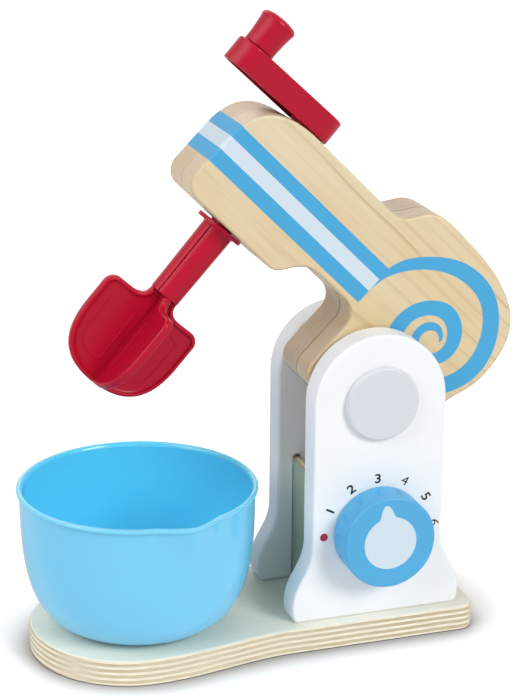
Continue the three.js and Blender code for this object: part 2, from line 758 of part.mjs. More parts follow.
function dial() {
  const screwRoom = dialScrewBite + runningGap;
  const body = turned([
    [0, screwRoom],
    [dialScrewRadius + runningGap / 2, screwRoom],
    [dialScrewRadius + runningGap / 2, 0],
    [dialHubRadius, 0],
    [dialHubRadius, dialRecessDepth],
    [dialRecessRadius, dialRecessDepth],
    [dialRecessRadius, 0],
    [dialRadius, 0],
    ...roundPoints(dialRadius - dialEase, dialDepth - dialEase, dialEase, 0, 90),
    [0, dialDepth],
  ], discSides);
  const [from, to] = notchSpanShares.map((share) => share * dialDepth);
  const notches = Array.from({ length: notchCount }, (_, i) =>
    alongZ(notchRadius, to - from, notchSides)
      .translate(dialRadius, 0, (from + to) / 2)
      .rotateZ(turn(notchTurn + (360 / notchCount) * i)));
  return onDialFace(cut(body, ...notches));
}

// Wheel with a hollow for every number, glued on the dial's hub
function clickWheel() {
  const outline = new THREE.Shape();
  const steps = clickCount * 6;
  for (let i = 0; i < steps; i += 1) {
    const angle = (2 * Math.PI * i) / steps;
    const radius = clickWheelRadius - clickWheelLobe * Math.cos(clickCount * angle);
    const point = [radius * Math.cos(angle), radius * Math.sin(angle)];
    if (i === 0) outline.moveTo(...point);
    else outline.lineTo(...point);
  }
  const bore = alongZ(dialHubRadius + runningGap, 2 * dialDepth, discSides / 2);
  const wheel = cut(board(outline, clickWheelThickness, 0), bore);
  return onDialFace(wheel.translate(0, 0, dialRecessDepth - runningGap - clickWheelThickness));
}

const clickNoseReach = clickWheelRadius - clickWheelLobe + runningGap + clickNoseRadius;
const clickSpringRadius = clickNoseReach + clickNoseRadius / 2;
const clickFootAngle = turn(90 + clickSpringSpan / 2);
const clickFootRadius = clickSpringRadius + clickSpringThickness / 2;

// The extra is the room round the peg in its hole
function clickPeg(extra) {
  const radius = clickFootWidth / 2 - runningGap + extra;
  return alongZ(radius, clickFootPeg + extra + overrun).translate(
    clickFootRadius * Math.cos(clickFootAngle),
    clickFootRadius * Math.sin(clickFootAngle),
    (overrun - clickFootPeg - extra) / 2);
}

const clickPegHole = () => onDialFace(clickPeg(runningGap));

// Curved leaf with a nose that rides the wheel's lobes, pegged into the upright
function clickSpring() {
  const half = turn(clickSpringSpan / 2);
  const leaf = new THREE.Shape();
  leaf.absarc(0, 0, clickSpringRadius + clickSpringThickness, turn(90) - half, turn(90) + half, false);
  leaf.absarc(0, 0, clickSpringRadius, turn(90) + half, turn(90) - half, true);
  const lift = dialRecessDepth - runningGap - clickSpringWidth;
  const strip = board(leaf, clickSpringWidth, 0).translate(0, 0, lift);
  const nose = alongZ(clickNoseRadius, clickSpringWidth, notchSides)
    .translate(0, clickNoseReach, lift + clickSpringWidth / 2);
  const foot = alongZ(clickFootWidth / 2, lift + clickSpringWidth)
    .translate(
      clickFootRadius * Math.cos(clickFootAngle),
      clickFootRadius * Math.sin(clickFootAngle),
      (lift + clickSpringWidth) / 2);
  return onDialFace(join(strip, nose, foot, clickPeg(0)));
}

// The screw runs from inside the column through the upright into the dial's hub
const dialScrewHead = innerFace - dialWasherThickness - dialScrewHeadHeight;

function dialScrew() {
  const radius = dialScrewRadius - runningGap / 2;
  const length = -dialBack + dialScrewBite - dialScrewHead;
  return screw(radius, dialScrewHeadRadius, dialScrewHeadHeight, length, screwTip, false)
    .rotateX(Math.PI / 2)
    .translate(0, -dialScrewHead + runningGap, dialHeight);
}

function dialWasher() {
  const bore = dialScrewRadius + runningGap;
  return ring(bore, dialWasherRadius, dialWasherThickness, boreSides)
    .rotateX(Math.PI / 2)
    .translate(0, dialWasherThickness - innerFace, dialHeight);
}

// Bowl

// Points down the side of the bowl, drawn in by the inset
function bowlSide(inset, topHeight) {
  const path = new THREE.Path();
  path.moveTo(bowlFootRadius, inset);
  curveTo(path, bowlWallRadius - inset, topHeight, 'x', 'y', reversed(bowlSideHandleShares));
  return path.getPoints(bowlProfileSteps).map(({ x, y }) => [x, y]);
}

function bowl() {
  const beadFoot = bowlHeight - bowlBead;
  const beadRound = bowlBead / 2;
  const beadReach = bowlRimRadius - beadRound;
  const lipInner = bowlWallRadius - bowlWall;
  const geometry = turned([
    [0, 0],
    ...bowlSide(0, beadFoot),
    ...roundPoints(beadReach, beadFoot + beadRound, beadRound, -60, 90),
    [lipInner + bowlWall / 2, bowlHeight],
    ...bowlSide(bowlWall, beadFoot).reverse(),
    [0, bowlWall],
  ], bowlSides);
  const places = geometry.attributes.position;
  for (let i = 0; i < places.count; i += 1) {
    const [x, y, z] = [places.getX(i), places.getY(i), places.getZ(i)];
    const away = THREE.MathUtils.radToDeg(Math.atan2(y, x)) - spoutAngle;
    const off = Math.hypot(away / spoutSpread, spoutTipShare);
    const around = Math.max(0, 1 + spoutTipShare - off);
    const up = THREE.MathUtils.smoothstep(z, bowlHeight - spoutDepth, bowlHeight);
    const radius = Math.hypot(x, y);
    const push = radius > bowlFootRadius ? 1 + (spoutPush * around * up) / radius : 1;
    places.setXY(i, x * push, y * push);
  }
  return toGeometry(toSolid(geometry)).translate(-bowlReach, 0, baseThickness);
}

// Assembly

function piece(name, geometry, surface) {
  const mesh = new THREE.Mesh(geometry, new THREE.MeshStandardMaterial(surface));
  mesh.name = name;
  return mesh;
}

function assembled(...pieces) {
  const group = new THREE.Group();
  group.add(...pieces);
  return group;
}

const washerRing = (side) => pivotRing(
  boltRadius + runningGap,
  frictionWasherRadius,
  frictionWasherThickness,
  side < 0 ? -innerFace + washerPlay : innerFace - washerPlay - frictionWasherThickness,
  discSides / 2);

const boltWasher = (side) => pivotRing(
  boltRadius + runningGap,
  boltWasherRadius,
  boltWasherThickness,
  side < 0 ? -boltSeat - boltWasherThickness : boltSeat,
  boreSides);

const stand = assembled(
  piece('base_board', baseBoard(), plywood),
  piece('dial_side_upright', upright(-1), whitePaint),
  piece('far_side_upright', upright(1), whitePaint),
  piece('front_panel', panel(-1), plywood),
  piece('rear_panel', panel(1), plywood),
  piece('stop_dowel', stopDowel(), dowelWood),
  piece('pivot_bolt', pivotBolt(), zincSteel),
  piece('pivot_nut', pivotNut(), zincSteel),
  piece('dial_side_bolt_washer', boltWasher(-1), zincSteel),
  piece('far_side_bolt_washer', boltWasher(1), zincSteel),
  piece('dial_side_friction_washer', washerRing(-1), fibre),
  piece('far_side_friction_washer', washerRing(1), fibre),
  piece('dial_side_pivot_cap', pivotCap(-1), capPlastic),
  piece('far_side_pivot_cap', pivotCap(1), capPlastic),
  ...screwPlaces.map((place, i) => piece(`base_screw_${i + 1}`, baseScrew(place), zincSteel)),
  piece('click_spring', clickSpring(), innerPlastic),
  piece('dial_washer', dialWasher(), zincSteel),
);

const dialGroup = assembled(
  piece('dial', dial(), bluePaint),
  piece('click_wheel', clickWheel(), innerPlastic),
  piece('dial_screw', dialScrew(), zincSteel),
);

// The arm and its knob stand on the hub's lower edge and turn with the shaft
const arm = assembled(
  piece('crank_arm', crankArm(), redPlastic),
  piece('crank_screw', crankScrew(), zincSteel),
  piece('knob_pin', knobPin().translate(crankLength, 0, 0), redPlastic),
  piece('crank_knob', crankKnob().translate(crankLength, 0, 0), redPlastic),
);
arm.position.z = crankBottom;
arm.rotation.z = turn(crankTurn);

const crank = assembled(
  piece('beater_shaft', beaterShaft(), redPlastic),
  piece('beater_blades', beaterBlades(), redPlastic),
  arm,
);
crank.position.set(-shaftReach, 0, headMiddle);
crank.rotation.y = -lean;

const head = assembled(
  piece('dial_side_head_board', headBoard(-headThickness / 2, gluePlane), pine),
  piece('far_side_head_board', headBoard(gluePlane, headThickness / 2), pine),
  crank,
);
head.position.z = pivotHeight;
head.rotation.y = turn(raisedTilt);

const group = assembled(stand, dialGroup, head, piece('bowl', bowl(), bowlPlastic));

export default group;
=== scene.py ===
# %% [markdown]
# # A wooden toy stand mixer, dressed for its picture
# The construction comes packed: every board, pin and plastic part is already in its place, with the
# bodies that turn and tilt. This lesson gives each piece its fine surface and its finish: lacquered
# pine with screen-printed stripes, painted uprights, a plywood base, moulded red and blue plastic.
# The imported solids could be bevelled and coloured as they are, but their edges are coarse. So each
# main piece is worked out again from the same sizes with finer edges, and takes the place of its
# solid, while the screws, washers, click parts and thin panels keep theirs.

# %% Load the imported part
import math

import bpy
import bmesh
import numpy as np
from mathutils import Matrix, Vector


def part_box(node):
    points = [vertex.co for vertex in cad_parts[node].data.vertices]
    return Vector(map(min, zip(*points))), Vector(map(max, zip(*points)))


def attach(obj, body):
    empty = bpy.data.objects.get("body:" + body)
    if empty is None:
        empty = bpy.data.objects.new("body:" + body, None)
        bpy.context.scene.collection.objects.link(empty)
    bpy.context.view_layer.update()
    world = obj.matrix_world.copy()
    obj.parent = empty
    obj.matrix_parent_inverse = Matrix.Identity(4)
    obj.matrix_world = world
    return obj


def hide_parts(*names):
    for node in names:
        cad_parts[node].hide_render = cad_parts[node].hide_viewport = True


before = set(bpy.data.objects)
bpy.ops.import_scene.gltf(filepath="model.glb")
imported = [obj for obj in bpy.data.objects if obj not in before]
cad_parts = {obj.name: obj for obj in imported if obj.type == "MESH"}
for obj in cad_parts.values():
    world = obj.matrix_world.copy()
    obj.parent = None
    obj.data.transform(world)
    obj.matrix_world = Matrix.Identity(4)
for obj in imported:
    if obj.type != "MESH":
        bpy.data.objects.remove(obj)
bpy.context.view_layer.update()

mm = 0.001

# %% [markdown]
# ## The camera
# The picture was taken from a little above and from the left of the dial, with a long lens. A camera
# can be placed by hand and aimed with a constraint, but then its place and its turn change together.
# This one is set by three angles, its distance and the spot in the picture where the near end of
# the head's pivot shows, so each of these can be changed by itself.

# %% Camera
picture_width, picture_height = 525, 700
azimuth, elevation, roll = (math.radians(angle) for angle in (18.93, 18.3, 0.45))
camera_distance = 1000.3 * mm
focal_length_pixels = 2103.75
pivot_pixel = (381.38, 402.55)
pivot_near_end = np.array([0, -32.92, 122.69]) * mm

# The camera stands back from the pivot's end, and aside by the pivot's offset in the picture
level_right = np.array([math.cos(azimuth), -math.sin(azimuth), 0])
back = np.array([
    -math.sin(azimuth) * math.cos(elevation),
    -math.cos(azimuth) * math.cos(elevation),
    math.sin(elevation),
])
level_up = np.cross(back, level_right)
right = math.cos(roll) * level_right + math.sin(roll) * level_up
up = math.cos(roll) * level_up - math.sin(roll) * level_right
pixel_size = camera_distance / focal_length_pixels
camera_place = (
    pivot_near_end
    + back * camera_distance
    - right * (pivot_pixel[0] - picture_width / 2) * pixel_size
    + up * (pivot_pixel[1] - picture_height / 2) * pixel_size
)

lens = bpy.data.cameras.new("long_lens")
lens.sensor_fit = "AUTO"  # the sensor's width belongs to the longer side of the picture
lens.sensor_width = 36
lens.lens = focal_length_pixels / picture_height * lens.sensor_width
camera = bpy.data.objects.new("camera", lens)
bpy.context.scene.collection.objects.link(camera)
camera.matrix_world = Matrix((
    (right[0], up[0], back[0], camera_place[0]),
    (right[1], up[1], back[1], camera_place[1]),
    (right[2], up[2], back[2], camera_place[2]),
    (0, 0, 0, 1),
))
bpy.context.scene.camera = camera
print("camera at", camera_place.round(3), "lens", round(lens.lens, 1), "mm")

# %% [markdown]
# ## Where things are
# The stand is upright, but the head rests tilted back by 45 degrees, and the shaft leans a little
# in its bore. Objects could be moved and turned into place, but the export wants each one at the
# origin, unturned. Shapes on the head are also easiest to describe with the head level, so each
# family of pieces has a matrix that carries its own simple drawing, point by point, into place.

# %% The places of the head and the shaft
pivot_height = 122.7 * mm
raised_tilt = math.radians(45)
shaft_reach = 110.2 * mm
shaft_lean = math.radians(3.3)
head_top, head_underside = 69.2 * mm, 10.7 * mm
head_middle = (head_top + head_underside) / 2
running_gap = 0.3 * mm

head_place = Matrix.Translation((0, 0, pivot_height)) @ Matrix.Rotation(raised_tilt, 4, "Y")
shaft_place = (
    head_place
    @ Matrix.Translation((-shaft_reach, 0, head_middle))
    @ Matrix.Rotation(-shaft_lean, 4, "Y")
)
print("shaft direction:", [round(x, 3) for x in shaft_place.to_3x3() @ Vector((0, 0, 1))])

# %% [markdown]
# ## Surfaces from arrays
# Boards and turned parts could be modelled by extruding and bevelling, one step after the other.
# Here every new piece is a grid of points instead: rows of a closed loop. A turned bowl is a profile
# whose loop runs round the axis, and a board is its outline, drawn in a little at the eased edges.
# One function turns such a grid into a mesh, so the shapes below are only formulas, and a changed
# size changes the whole piece.

# %% From a grid of points to a piece
def surface(name, grid, closed=False):
    """Mesh of a grid with shape (rows, points in a closed loop, 3).

    Neighbouring rows are joined by quads. Where closed is true the last row meets the first, and
    otherwise the first and last rows are filled. Points that coincide, as at a pole, are merged.
    """
    rows, loop = grid.shape[:2]
    spans = rows if closed else rows - 1
    row, column = np.meshgrid(np.arange(spans), np.arange(loop), indexing="ij")
    next_row, next_column = (row + 1) % rows, (column + 1) % loop
    corners = [(row, column), (row, next_column), (next_row, next_column), (next_row, column)]
    quads = np.stack([r * loop + c for r, c in corners], axis=-1).reshape(-1, 4)
    faces = quads.tolist()
    if not closed:
        faces += [list(range(loop)), list(range((rows - 1) * loop, rows * loop))]
    mesh = bpy.data.meshes.new(name)
    mesh.from_pydata(grid.reshape(-1, 3).tolist(), [], faces)
    tidy(mesh)
    return mesh


def smoothed(mesh, sharp_angle=38):
    """Shades the mesh smoothly, apart from edges that turn by more than an angle in degrees."""
    mesh.shade_smooth()
    mesh.set_sharp_from_angle(angle=math.radians(sharp_angle))


def tidy(mesh):
    """Merges doubled points, points every face outwards and shades the mesh."""
    same_point, no_length = 0.002 * mm, 0.001 * mm
    work = bmesh.new()
    work.from_mesh(mesh)
    bmesh.ops.remove_doubles(work, verts=work.verts, dist=same_point)
    bmesh.ops.dissolve_degenerate(work, edges=work.edges, dist=no_length)
    bmesh.ops.recalc_face_normals(work, faces=work.faces)
    work.to_mesh(mesh)
    work.free()
    smoothed(mesh)


def placed(grid, matrix):
    """The same grid, carried into place: every point times the matrix."""
    full = np.array(matrix)
    return grid @ full[:3, :3].T + full[:3, 3]


square_grid = np.array([[(0, 0, z), (1, 0, z), (1, 1, z), (0, 1, z)] for z in (0, 1)]) * mm
trial = surface("trial", square_grid)
print("two rows of four points make", len(trial.polygons), "faces")
bpy.data.meshes.remove(trial)

# %% [markdown]
# ## From a mesh to a dressed piece
# A mesh becomes part of the mixer when it rides on a body, so that it turns with it, and the
# imported solids it takes the place of are hidden. Flat faces beside a small rounded edge look dented
# if every corner's normal is a plain mean, so normals are weighted by the size of the faces. Holes
# are cut exactly, by a boolean that is worked out at once. It could be left as a modifier, but a
# plain mesh is easier to check and to export.

# %% Dressing, merging and carving
def dress(name, mesh, body, material, stands_for=()):
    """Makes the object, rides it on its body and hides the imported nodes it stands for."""
    piece = bpy.data.objects.new(name, mesh)
    bpy.context.scene.collection.objects.link(piece)
    mesh.materials.clear()
    mesh.materials.append(material)
    weighted = piece.modifiers.new("flat faces stay flat", "WEIGHTED_NORMAL")
    weighted.keep_sharp = True
    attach(piece, body)
    if stands_for:
        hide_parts(*stands_for)
    print(f"{name}: {len(mesh.polygons)} faces on {body}")


def merged(name, meshes):
    """One mesh that holds several, as separate closed shells."""
    work = bmesh.new()
    for mesh in meshes:
        work.from_mesh(mesh)
    whole = bpy.data.meshes.new(name)
    work.to_mesh(whole)
    work.free()
    for mesh in meshes:
        bpy.data.meshes.remove(mesh)
    smoothed(whole)
    return whole


def carved(mesh, *cutters):
    """The mesh less its cutters, worked out exactly and kept as a plain mesh."""
    block = bpy.data.objects.new("block", mesh)
    bpy.context.scene.collection.objects.link(block)
    tools = []
    for cutter in cutters:
        tool = bpy.data.objects.new("tool", cutter)
        bpy.context.scene.collection.objects.link(tool)
        tools.append(tool)
        modifier = block.modifiers.new("cut", "BOOLEAN")
        modifier.operation = "DIFFERENCE"
        modifier.solver = "EXACT"
        modifier.object = tool
    graph = bpy.context.evaluated_depsgraph_get()
    result = bpy.data.meshes.new_from_object(block.evaluated_get(graph))
    for thing in [block, *tools]:
        bpy.data.objects.remove(thing)
    result.name = mesh.name
    tidy(result)
    return result


print("packed nodes to dress or replace:", len(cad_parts))

# %% [markdown]
# ## Outlines
# Outlines are drawn the way a jig maker draws them: straight runs, arcs, and curves that leave one
# edge and arrive at the next in a known direction. They could be traced point by point, which keeps
# every wobble of the hand. Arcs and Bezier curves have only a few numbers each, and stay smooth.

# %% Lines, arcs and curves
def arc(centre, radius, start, end, steps=20):
    """Points centre + radius (cos a, sin a), with a from start to end in degrees."""
    angles = np.radians(np.linspace(start, end, steps + 1))
    return np.array(centre) + radius * np.stack([np.cos(angles), np.sin(angles)], axis=1)


def swing(start, end, leave, arrive, shares, steps=28):
    """Cubic Bezier curve that leaves along one axis (0 or 1) and arrives along one axis.

    Its points are the sum of the two ends and two handles, times (1-t)^3, t^3, 3t(1-t)^2 and
    3t^2(1-t). The handles lie along the axes, by shares of the run.
    """
    start, end = np.array(start, float), np.array(end, float)
    first, last = start.copy(), end.copy()
    first[leave] += (end[leave] - start[leave]) * shares[0]
    last[arrive] -= (end[arrive] - start[arrive]) * shares[1]
    t = np.linspace(0, 1, steps + 1)[:, None]
    return (
        (1 - t) ** 3 * start
        + 3 * t * (1 - t) ** 2 * first
        + 3 * t ** 2 * (1 - t) * last
        + t ** 3 * end
    )


def outline(*runs):
    """Joins runs of points into one closed loop without doubled points."""
    points = np.concatenate([np.atleast_2d(np.array(run, float)) for run in runs])
    apart = np.linalg.norm(points - np.roll(points, 1, axis=0), axis=1) > 0.0001 * mm
    return points[apart]


def outward(loop):
    """Outward offset of each corner of a closed loop, for an inset of one.

    It is the sum of the two edges' unit normals over half its own square, so that both edges move
    by one. At a very sharp corner it is kept short.
    """
    edge = np.roll(loop, -1, axis=0) - loop
    normal = np.stack([edge[:, 1], -edge[:, 0]], axis=1)
    normal /= np.linalg.norm(normal, axis=1, keepdims=True)
    area = 0.5 * np.sum(loop[:, 0] * np.roll(loop[:, 1], -1) - np.roll(loop[:, 0], -1) * loop[:, 1])
    normal *= math.copysign(1, area)
    both = normal + np.roll(normal, 1, axis=0)
    return both / np.maximum(0.5 * np.sum(both * both, axis=1, keepdims=True), 0.3)


def ringed(loop, profile):
    """Grid whose rows are the loop drawn in by each inset of the profile, at each depth."""
    away = outward(loop)
    rows = [np.column_stack([loop - away * inset, np.full(len(loop), depth)])
            for inset, depth in profile]
    return np.array(rows)


def eased(thickness, first_ease, last_ease, steps=6):
    """Profile of a board's edge: a quarter round at each face, as (inset, depth) pairs.

    With a from 0 to a quarter turn, the inset is the ease times 1 - sin a, and the depth from the
    face is the ease times 1 - cos a.
    """
    angles = np.linspace(0, math.pi / 2, steps + 1)
    rounded = [(1 - np.sin(angles)), (1 - np.cos(angles))]
    first = [(first_ease * a, first_ease * b) for a, b in zip(*rounded)]
    last = [(last_ease * a, thickness - last_ease * b) for a, b in zip(*rounded)]
    return first + last[::-1]


def turned(profile, sides=96):
    """Grid of a profile of (radius, height) turned about Z: (r cos a, r sin a, h)."""
    profile = np.array(profile, float)
    angles = np.linspace(0, 2 * math.pi, sides, endpoint=False)
    radius, height = profile[:, :1], profile[:, 1:]
    return np.stack([
        radius * np.cos(angles),
        radius * np.sin(angles),
        np.broadcast_to(height, (len(profile), sides)),
    ], axis=-1)


def standing(from_y):
    """Place of a board drawn in (along, up): it stands, with its depth along +Y from the given Y."""
    return Matrix(((1, 0, 0, 0), (0, 0, 1, from_y), (0, 1, 0, 0), (0, 0, 0, 1)))


print("a quarter round has", len(arc((0, 0), 1 * mm, 0, 90)), "points")

# %% [markdown]
# ## Materials
# Each finish is one Principled shader, whose colour, gloss and fine relief come from noise and
# simple sums. Pictures of real surfaces could be wrapped round the pieces instead, but they need an
# unwrapped mesh and show where they join. Here every pattern is read from the object's own
# coordinates, in metres, so a growth ring or a fibre has its real size, runs on round a corner and
# stays with its piece when that turns.

# %% Colours and nodes
def linear(text):
    """A colour written as sRGB hex, turned to linear light.

    Each value v from 0 to 1 becomes v / 12.92 where it is small, and otherwise
    ((v + 0.055) / 1.055) to the power 2.4.
    """
    values = [int(text[i:i + 2], 16) / 255 for i in (1, 3, 5)]
    bright = [v / 12.92 if v <= 0.04045 else ((v + 0.055) / 1.055) ** 2.4 for v in values]
    return (*bright, 1.0)


def grey(value):
    """A grey of the given linear brightness."""
    return (value, value, value, 1)


def add(tree, kind, settings=None, inputs=None, stops=None):
    """Adds a node, with its settings, its inputs by name or number, and a ramp's colour stops."""
    made = tree.nodes.new(kind)
    for key, value in (settings or {}).items():
        setattr(made, key, value)
    for key, value in (inputs or {}).items():
        if isinstance(value, bpy.types.NodeSocket):
            tree.links.new(value, made.inputs[key])
        else:
            made.inputs[key].default_value = value
    if stops:
        ramp = made.color_ramp
        while len(ramp.elements) < len(stops):
            ramp.elements.new(0.5)
        for element, (place, colour) in zip(ramp.elements, stops):
            element.position = place
            element.color = colour
    return made


def blank(name):
    """A new material without any node, and its tree."""
    material = bpy.data.materials.new(name)
    material.use_nodes = True
    tree = material.node_tree
    tree.nodes.clear()
    return material, tree


# Settings that many nodes share. A Mix node has its share at input 0, its two colours at 6 and 7,
# and the result at output 2. A Map Range node has its value at 0, the range read at 1 and 2, and
# the range given at 3 and 4. A Mapping node has the vector at 0, its move at 1, turn at 2, scale at 3.
mix = {"data_type": "RGBA"}
multiply = {"data_type": "RGBA", "blend_type": "MULTIPLY"}
product, plus, share_of_one = ({"operation": name} for name in ("MULTIPLY", "ADD", "FRACT"))
scaled_plus, size_of = {"operation": "MULTIPLY_ADD"}, {"operation": "ABSOLUTE"}
print("white in linear light:", linear("#ffffff"), "mid grey:", round(linear("#808080")[0], 3))

# %% [markdown]
# ### Lacquered pine: the rings
# The head is glued up from two pine boards, sanded and lacquered. Pine has pale early wood and thin
# darker lines of late wood, a few millimetres apart. The lines could be drawn as stripes on each
# face, but then the face, the edge and the nose would not agree. A board is a slice through the
# tree's growth rings, so here the colour is a function of the distance from the tree's middle, a
# long way off the board, and one formula gives every face its lines, as a saw does.

# %% Growth rings
ring_spacing = 3.3 * mm
ring_bends = (9, 38, 38)  # per metre: the rings wander over 111 mm along the board, 26 mm across
ring_shift = (0, 3 * mm, 7 * mm)
ring_strengths = (6, 90, 90)  # per metre: a strong ring fades over 167 mm along, 11 mm across


def on_level_head(tree, place):
    """Object coordinates moved and turned back, so that X runs along the head as if it were level."""
    return add(tree, "ShaderNodeMapping", inputs={
        0: place.outputs["Object"],
        1: (pivot_height * math.sin(raised_tilt), 0, -pivot_height * math.cos(raised_tilt)),
        2: (0, -raised_tilt, 0),
    }).outputs[0]


def ring_colour(tree, level, heart, drift, light, late):
    """Colour of the growth ring that a point lies in.

    The point is shifted a little by noise. Its distance from the heart (across, up), which drifts
    along the board, is divided by the spacing, and the part after the whole rings picks the colour
    on a ramp from pale early wood to dark late wood. A second noise says how much a ring shows.
    """
    bends = add(tree, "ShaderNodeMapping", inputs={0: level, 3: ring_bends})
    wander = add(tree, "ShaderNodeTexNoise", inputs={0: bends.outputs[0], "Scale": 1.0, "Detail": 2.0})
    shift = add(tree, "ShaderNodeVectorMath", scaled_plus,
                {0: wander.outputs["Color"], 1: ring_shift, 2: level})
    parts = add(tree, "ShaderNodeSeparateXYZ", inputs={0: shift.outputs[0]})
    height = add(tree, "ShaderNodeMath", scaled_plus,
                 {0: parts.outputs[0], 1: drift, 2: parts.outputs[2]})
    across = add(tree, "ShaderNodeCombineXYZ", inputs={1: parts.outputs[1], 2: height.outputs[0]})
    away = add(tree, "ShaderNodeVectorMath", {"operation": "DISTANCE"},
               {0: across.outputs[0], 1: (0, *heart)})
    rings = add(tree, "ShaderNodeMath", {"operation": "DIVIDE"},
                {0: away.outputs["Value"], 1: ring_spacing})
    within = add(tree, "ShaderNodeMath", share_of_one, {0: rings.outputs[0]})
    wood = add(tree, "ShaderNodeValToRGB", inputs={0: within.outputs[0]}, stops=[
        (0.0, linear(light)),
        (0.62, linear(light)),
        (0.9, linear(late)),
        (1.0, linear(light)),
    ])
    patches = add(tree, "ShaderNodeMapping", inputs={0: level, 3: ring_strengths})
    strength = add(tree, "ShaderNodeTexNoise", inputs={
        0: patches.outputs[0], "Scale": 1.0, "Detail": 1.0})
    shown = add(tree, "ShaderNodeMapRange", inputs={
        0: strength.outputs["Fac"], 1: 0.45, 2: 0.72, 3: 0.08, 4: 0.85})
    return add(tree, "ShaderNodeMix", mix, {
        0: shown.outputs[0], 6: linear(light), 7: wood.outputs["Color"]}).outputs[2]


print("rings across the head's height:", round((head_top - head_underside) / ring_spacing, 1))

# %% [markdown]
# ### Lacquered pine: fibres, end grain and glue
# Close up, pine shows fine fibres along the board and broad warmer clouds. Where the saw cuts
# across the fibres, the end grain soaks up lacquer and looks darker, and between the two boards a
# thin seam of glue shows. Each of these could be a material of its own on its own faces. They are
# layers of one material here, multiplied over the rings, because on the real head they run over
# into each other round every edge.

# %% Fibres, end grain and glue line
fibre_spacing = 0.45 * mm
fibre_length = 60  # times the spacing
cloud_sizes = (14, 45, 45)  # per metre: clouds of 71 mm along the board and 22 mm across
pale_nose_until, darker_ends_from = -136 * mm, -90 * mm  # along the level head: the end grain is paler at the nose than behind it
glue_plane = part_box("dial_side_head_board")[1].y
seam_core, seam_edge = 0.3 * mm, 0.6 * mm  # half widths, wider than a real seam so that it shows


def with_fibres(tree, colour, level):
    """Colour times the fibres' noise, stretched along the board, and times broad warm clouds."""
    per_fibre = 1 / fibre_spacing
    along_fibres = add(tree, "ShaderNodeMapping", inputs={
        0: level, 3: (per_fibre / fibre_length, per_fibre, per_fibre)})
    fibres = add(tree, "ShaderNodeTexNoise", inputs={
        0: along_fibres.outputs[0], "Scale": 1.0, "Detail": 2.0})
    fine = add(tree, "ShaderNodeMapRange", inputs={
        0: fibres.outputs["Fac"], 1: 0.3, 2: 0.7, 3: 0.93, 4: 1.03})
    colour = add(tree, "ShaderNodeMix", multiply, {0: 1.0, 6: colour, 7: fine.outputs[0]}).outputs[2]
    sizes = add(tree, "ShaderNodeMapping", inputs={0: level, 3: cloud_sizes})
    clouds = add(tree, "ShaderNodeTexNoise", inputs={0: sizes.outputs[0], "Scale": 1.0, "Detail": 1.0})
    warm = add(tree, "ShaderNodeValToRGB", inputs={0: clouds.outputs["Fac"]}, stops=[
        (0.35, linear("#fbf3e2")), (0.65, grey(1.0))])
    warmed = add(tree, "ShaderNodeMix", multiply, {0: 1.0, 6: colour, 7: warm.outputs["Color"]})
    return warmed.outputs[2], fibres.outputs["Fac"]


def with_end_grain(tree, colour, place, behind):
    """Colour multiplied by that of soaked wood, by how squarely the face looks along the board."""
    facing = add(tree, "ShaderNodeVectorMath", {"operation": "DOT_PRODUCT"}, {
        0: place.outputs["Normal"], 1: (math.cos(raised_tilt), 0, -math.sin(raised_tilt))})
    ends = add(tree, "ShaderNodeMath", size_of, {0: facing.outputs["Value"]})
    end_share = add(tree, "ShaderNodeMapRange", inputs={
        0: ends.outputs[0], 1: 0.15, 2: 0.8, 3: 0.0, 4: 1.0})
    # The end grain is paler at the nose than on the curves behind it
    soaked = add(tree, "ShaderNodeMix", mix, {0: behind, 6: linear("#f3f0f6"), 7: linear("#dad4d5")})
    darker = add(tree, "ShaderNodeMix", multiply, {0: 1.0, 6: colour, 7: soaked.outputs[2]})
    return add(tree, "ShaderNodeMix", mix, {
        0: end_share.outputs[0], 6: colour, 7: darker.outputs[2]}).outputs[2]


def with_glue_line(tree, colour, place, behind):
    """Colour darkened close to the plane where the boards meet, less and less towards the nose."""
    straight = add(tree, "ShaderNodeSeparateXYZ", inputs={0: place.outputs["Object"]})
    seam = add(tree, "ShaderNodeMath", {"operation": "SUBTRACT"},
               {0: straight.outputs[1], 1: glue_plane})
    off_seam = add(tree, "ShaderNodeMath", size_of, {0: seam.outputs[0]})
    dark = add(tree, "ShaderNodeMapRange", inputs={
        0: off_seam.outputs[0], 1: seam_core, 2: seam_edge, 3: 1.0, 4: 0.0})
    seam_share = add(tree, "ShaderNodeMath", product, {0: dark.outputs[0], 1: behind})
    glued = add(tree, "ShaderNodeMix", multiply, {0: 1.0, 6: colour, 7: linear("#a08468")})
    return add(tree, "ShaderNodeMix", mix, {
        0: seam_share.outputs[0], 6: colour, 7: glued.outputs[2]}).outputs[2]


print("fibres", round(fibre_spacing / mm, 2), "mm apart, glue line at y", round(glue_plane / mm, 2))

# %% [markdown]
# ### Lacquered pine: the material
# The layers meet in one shader. Under a clear coat the wood keeps a soft sheen, and the fibres are
# felt as a relief of a few hundredths of a millimetre. The two boards come from different trees, so
# each has its own middle of the rings and a slightly different colour.

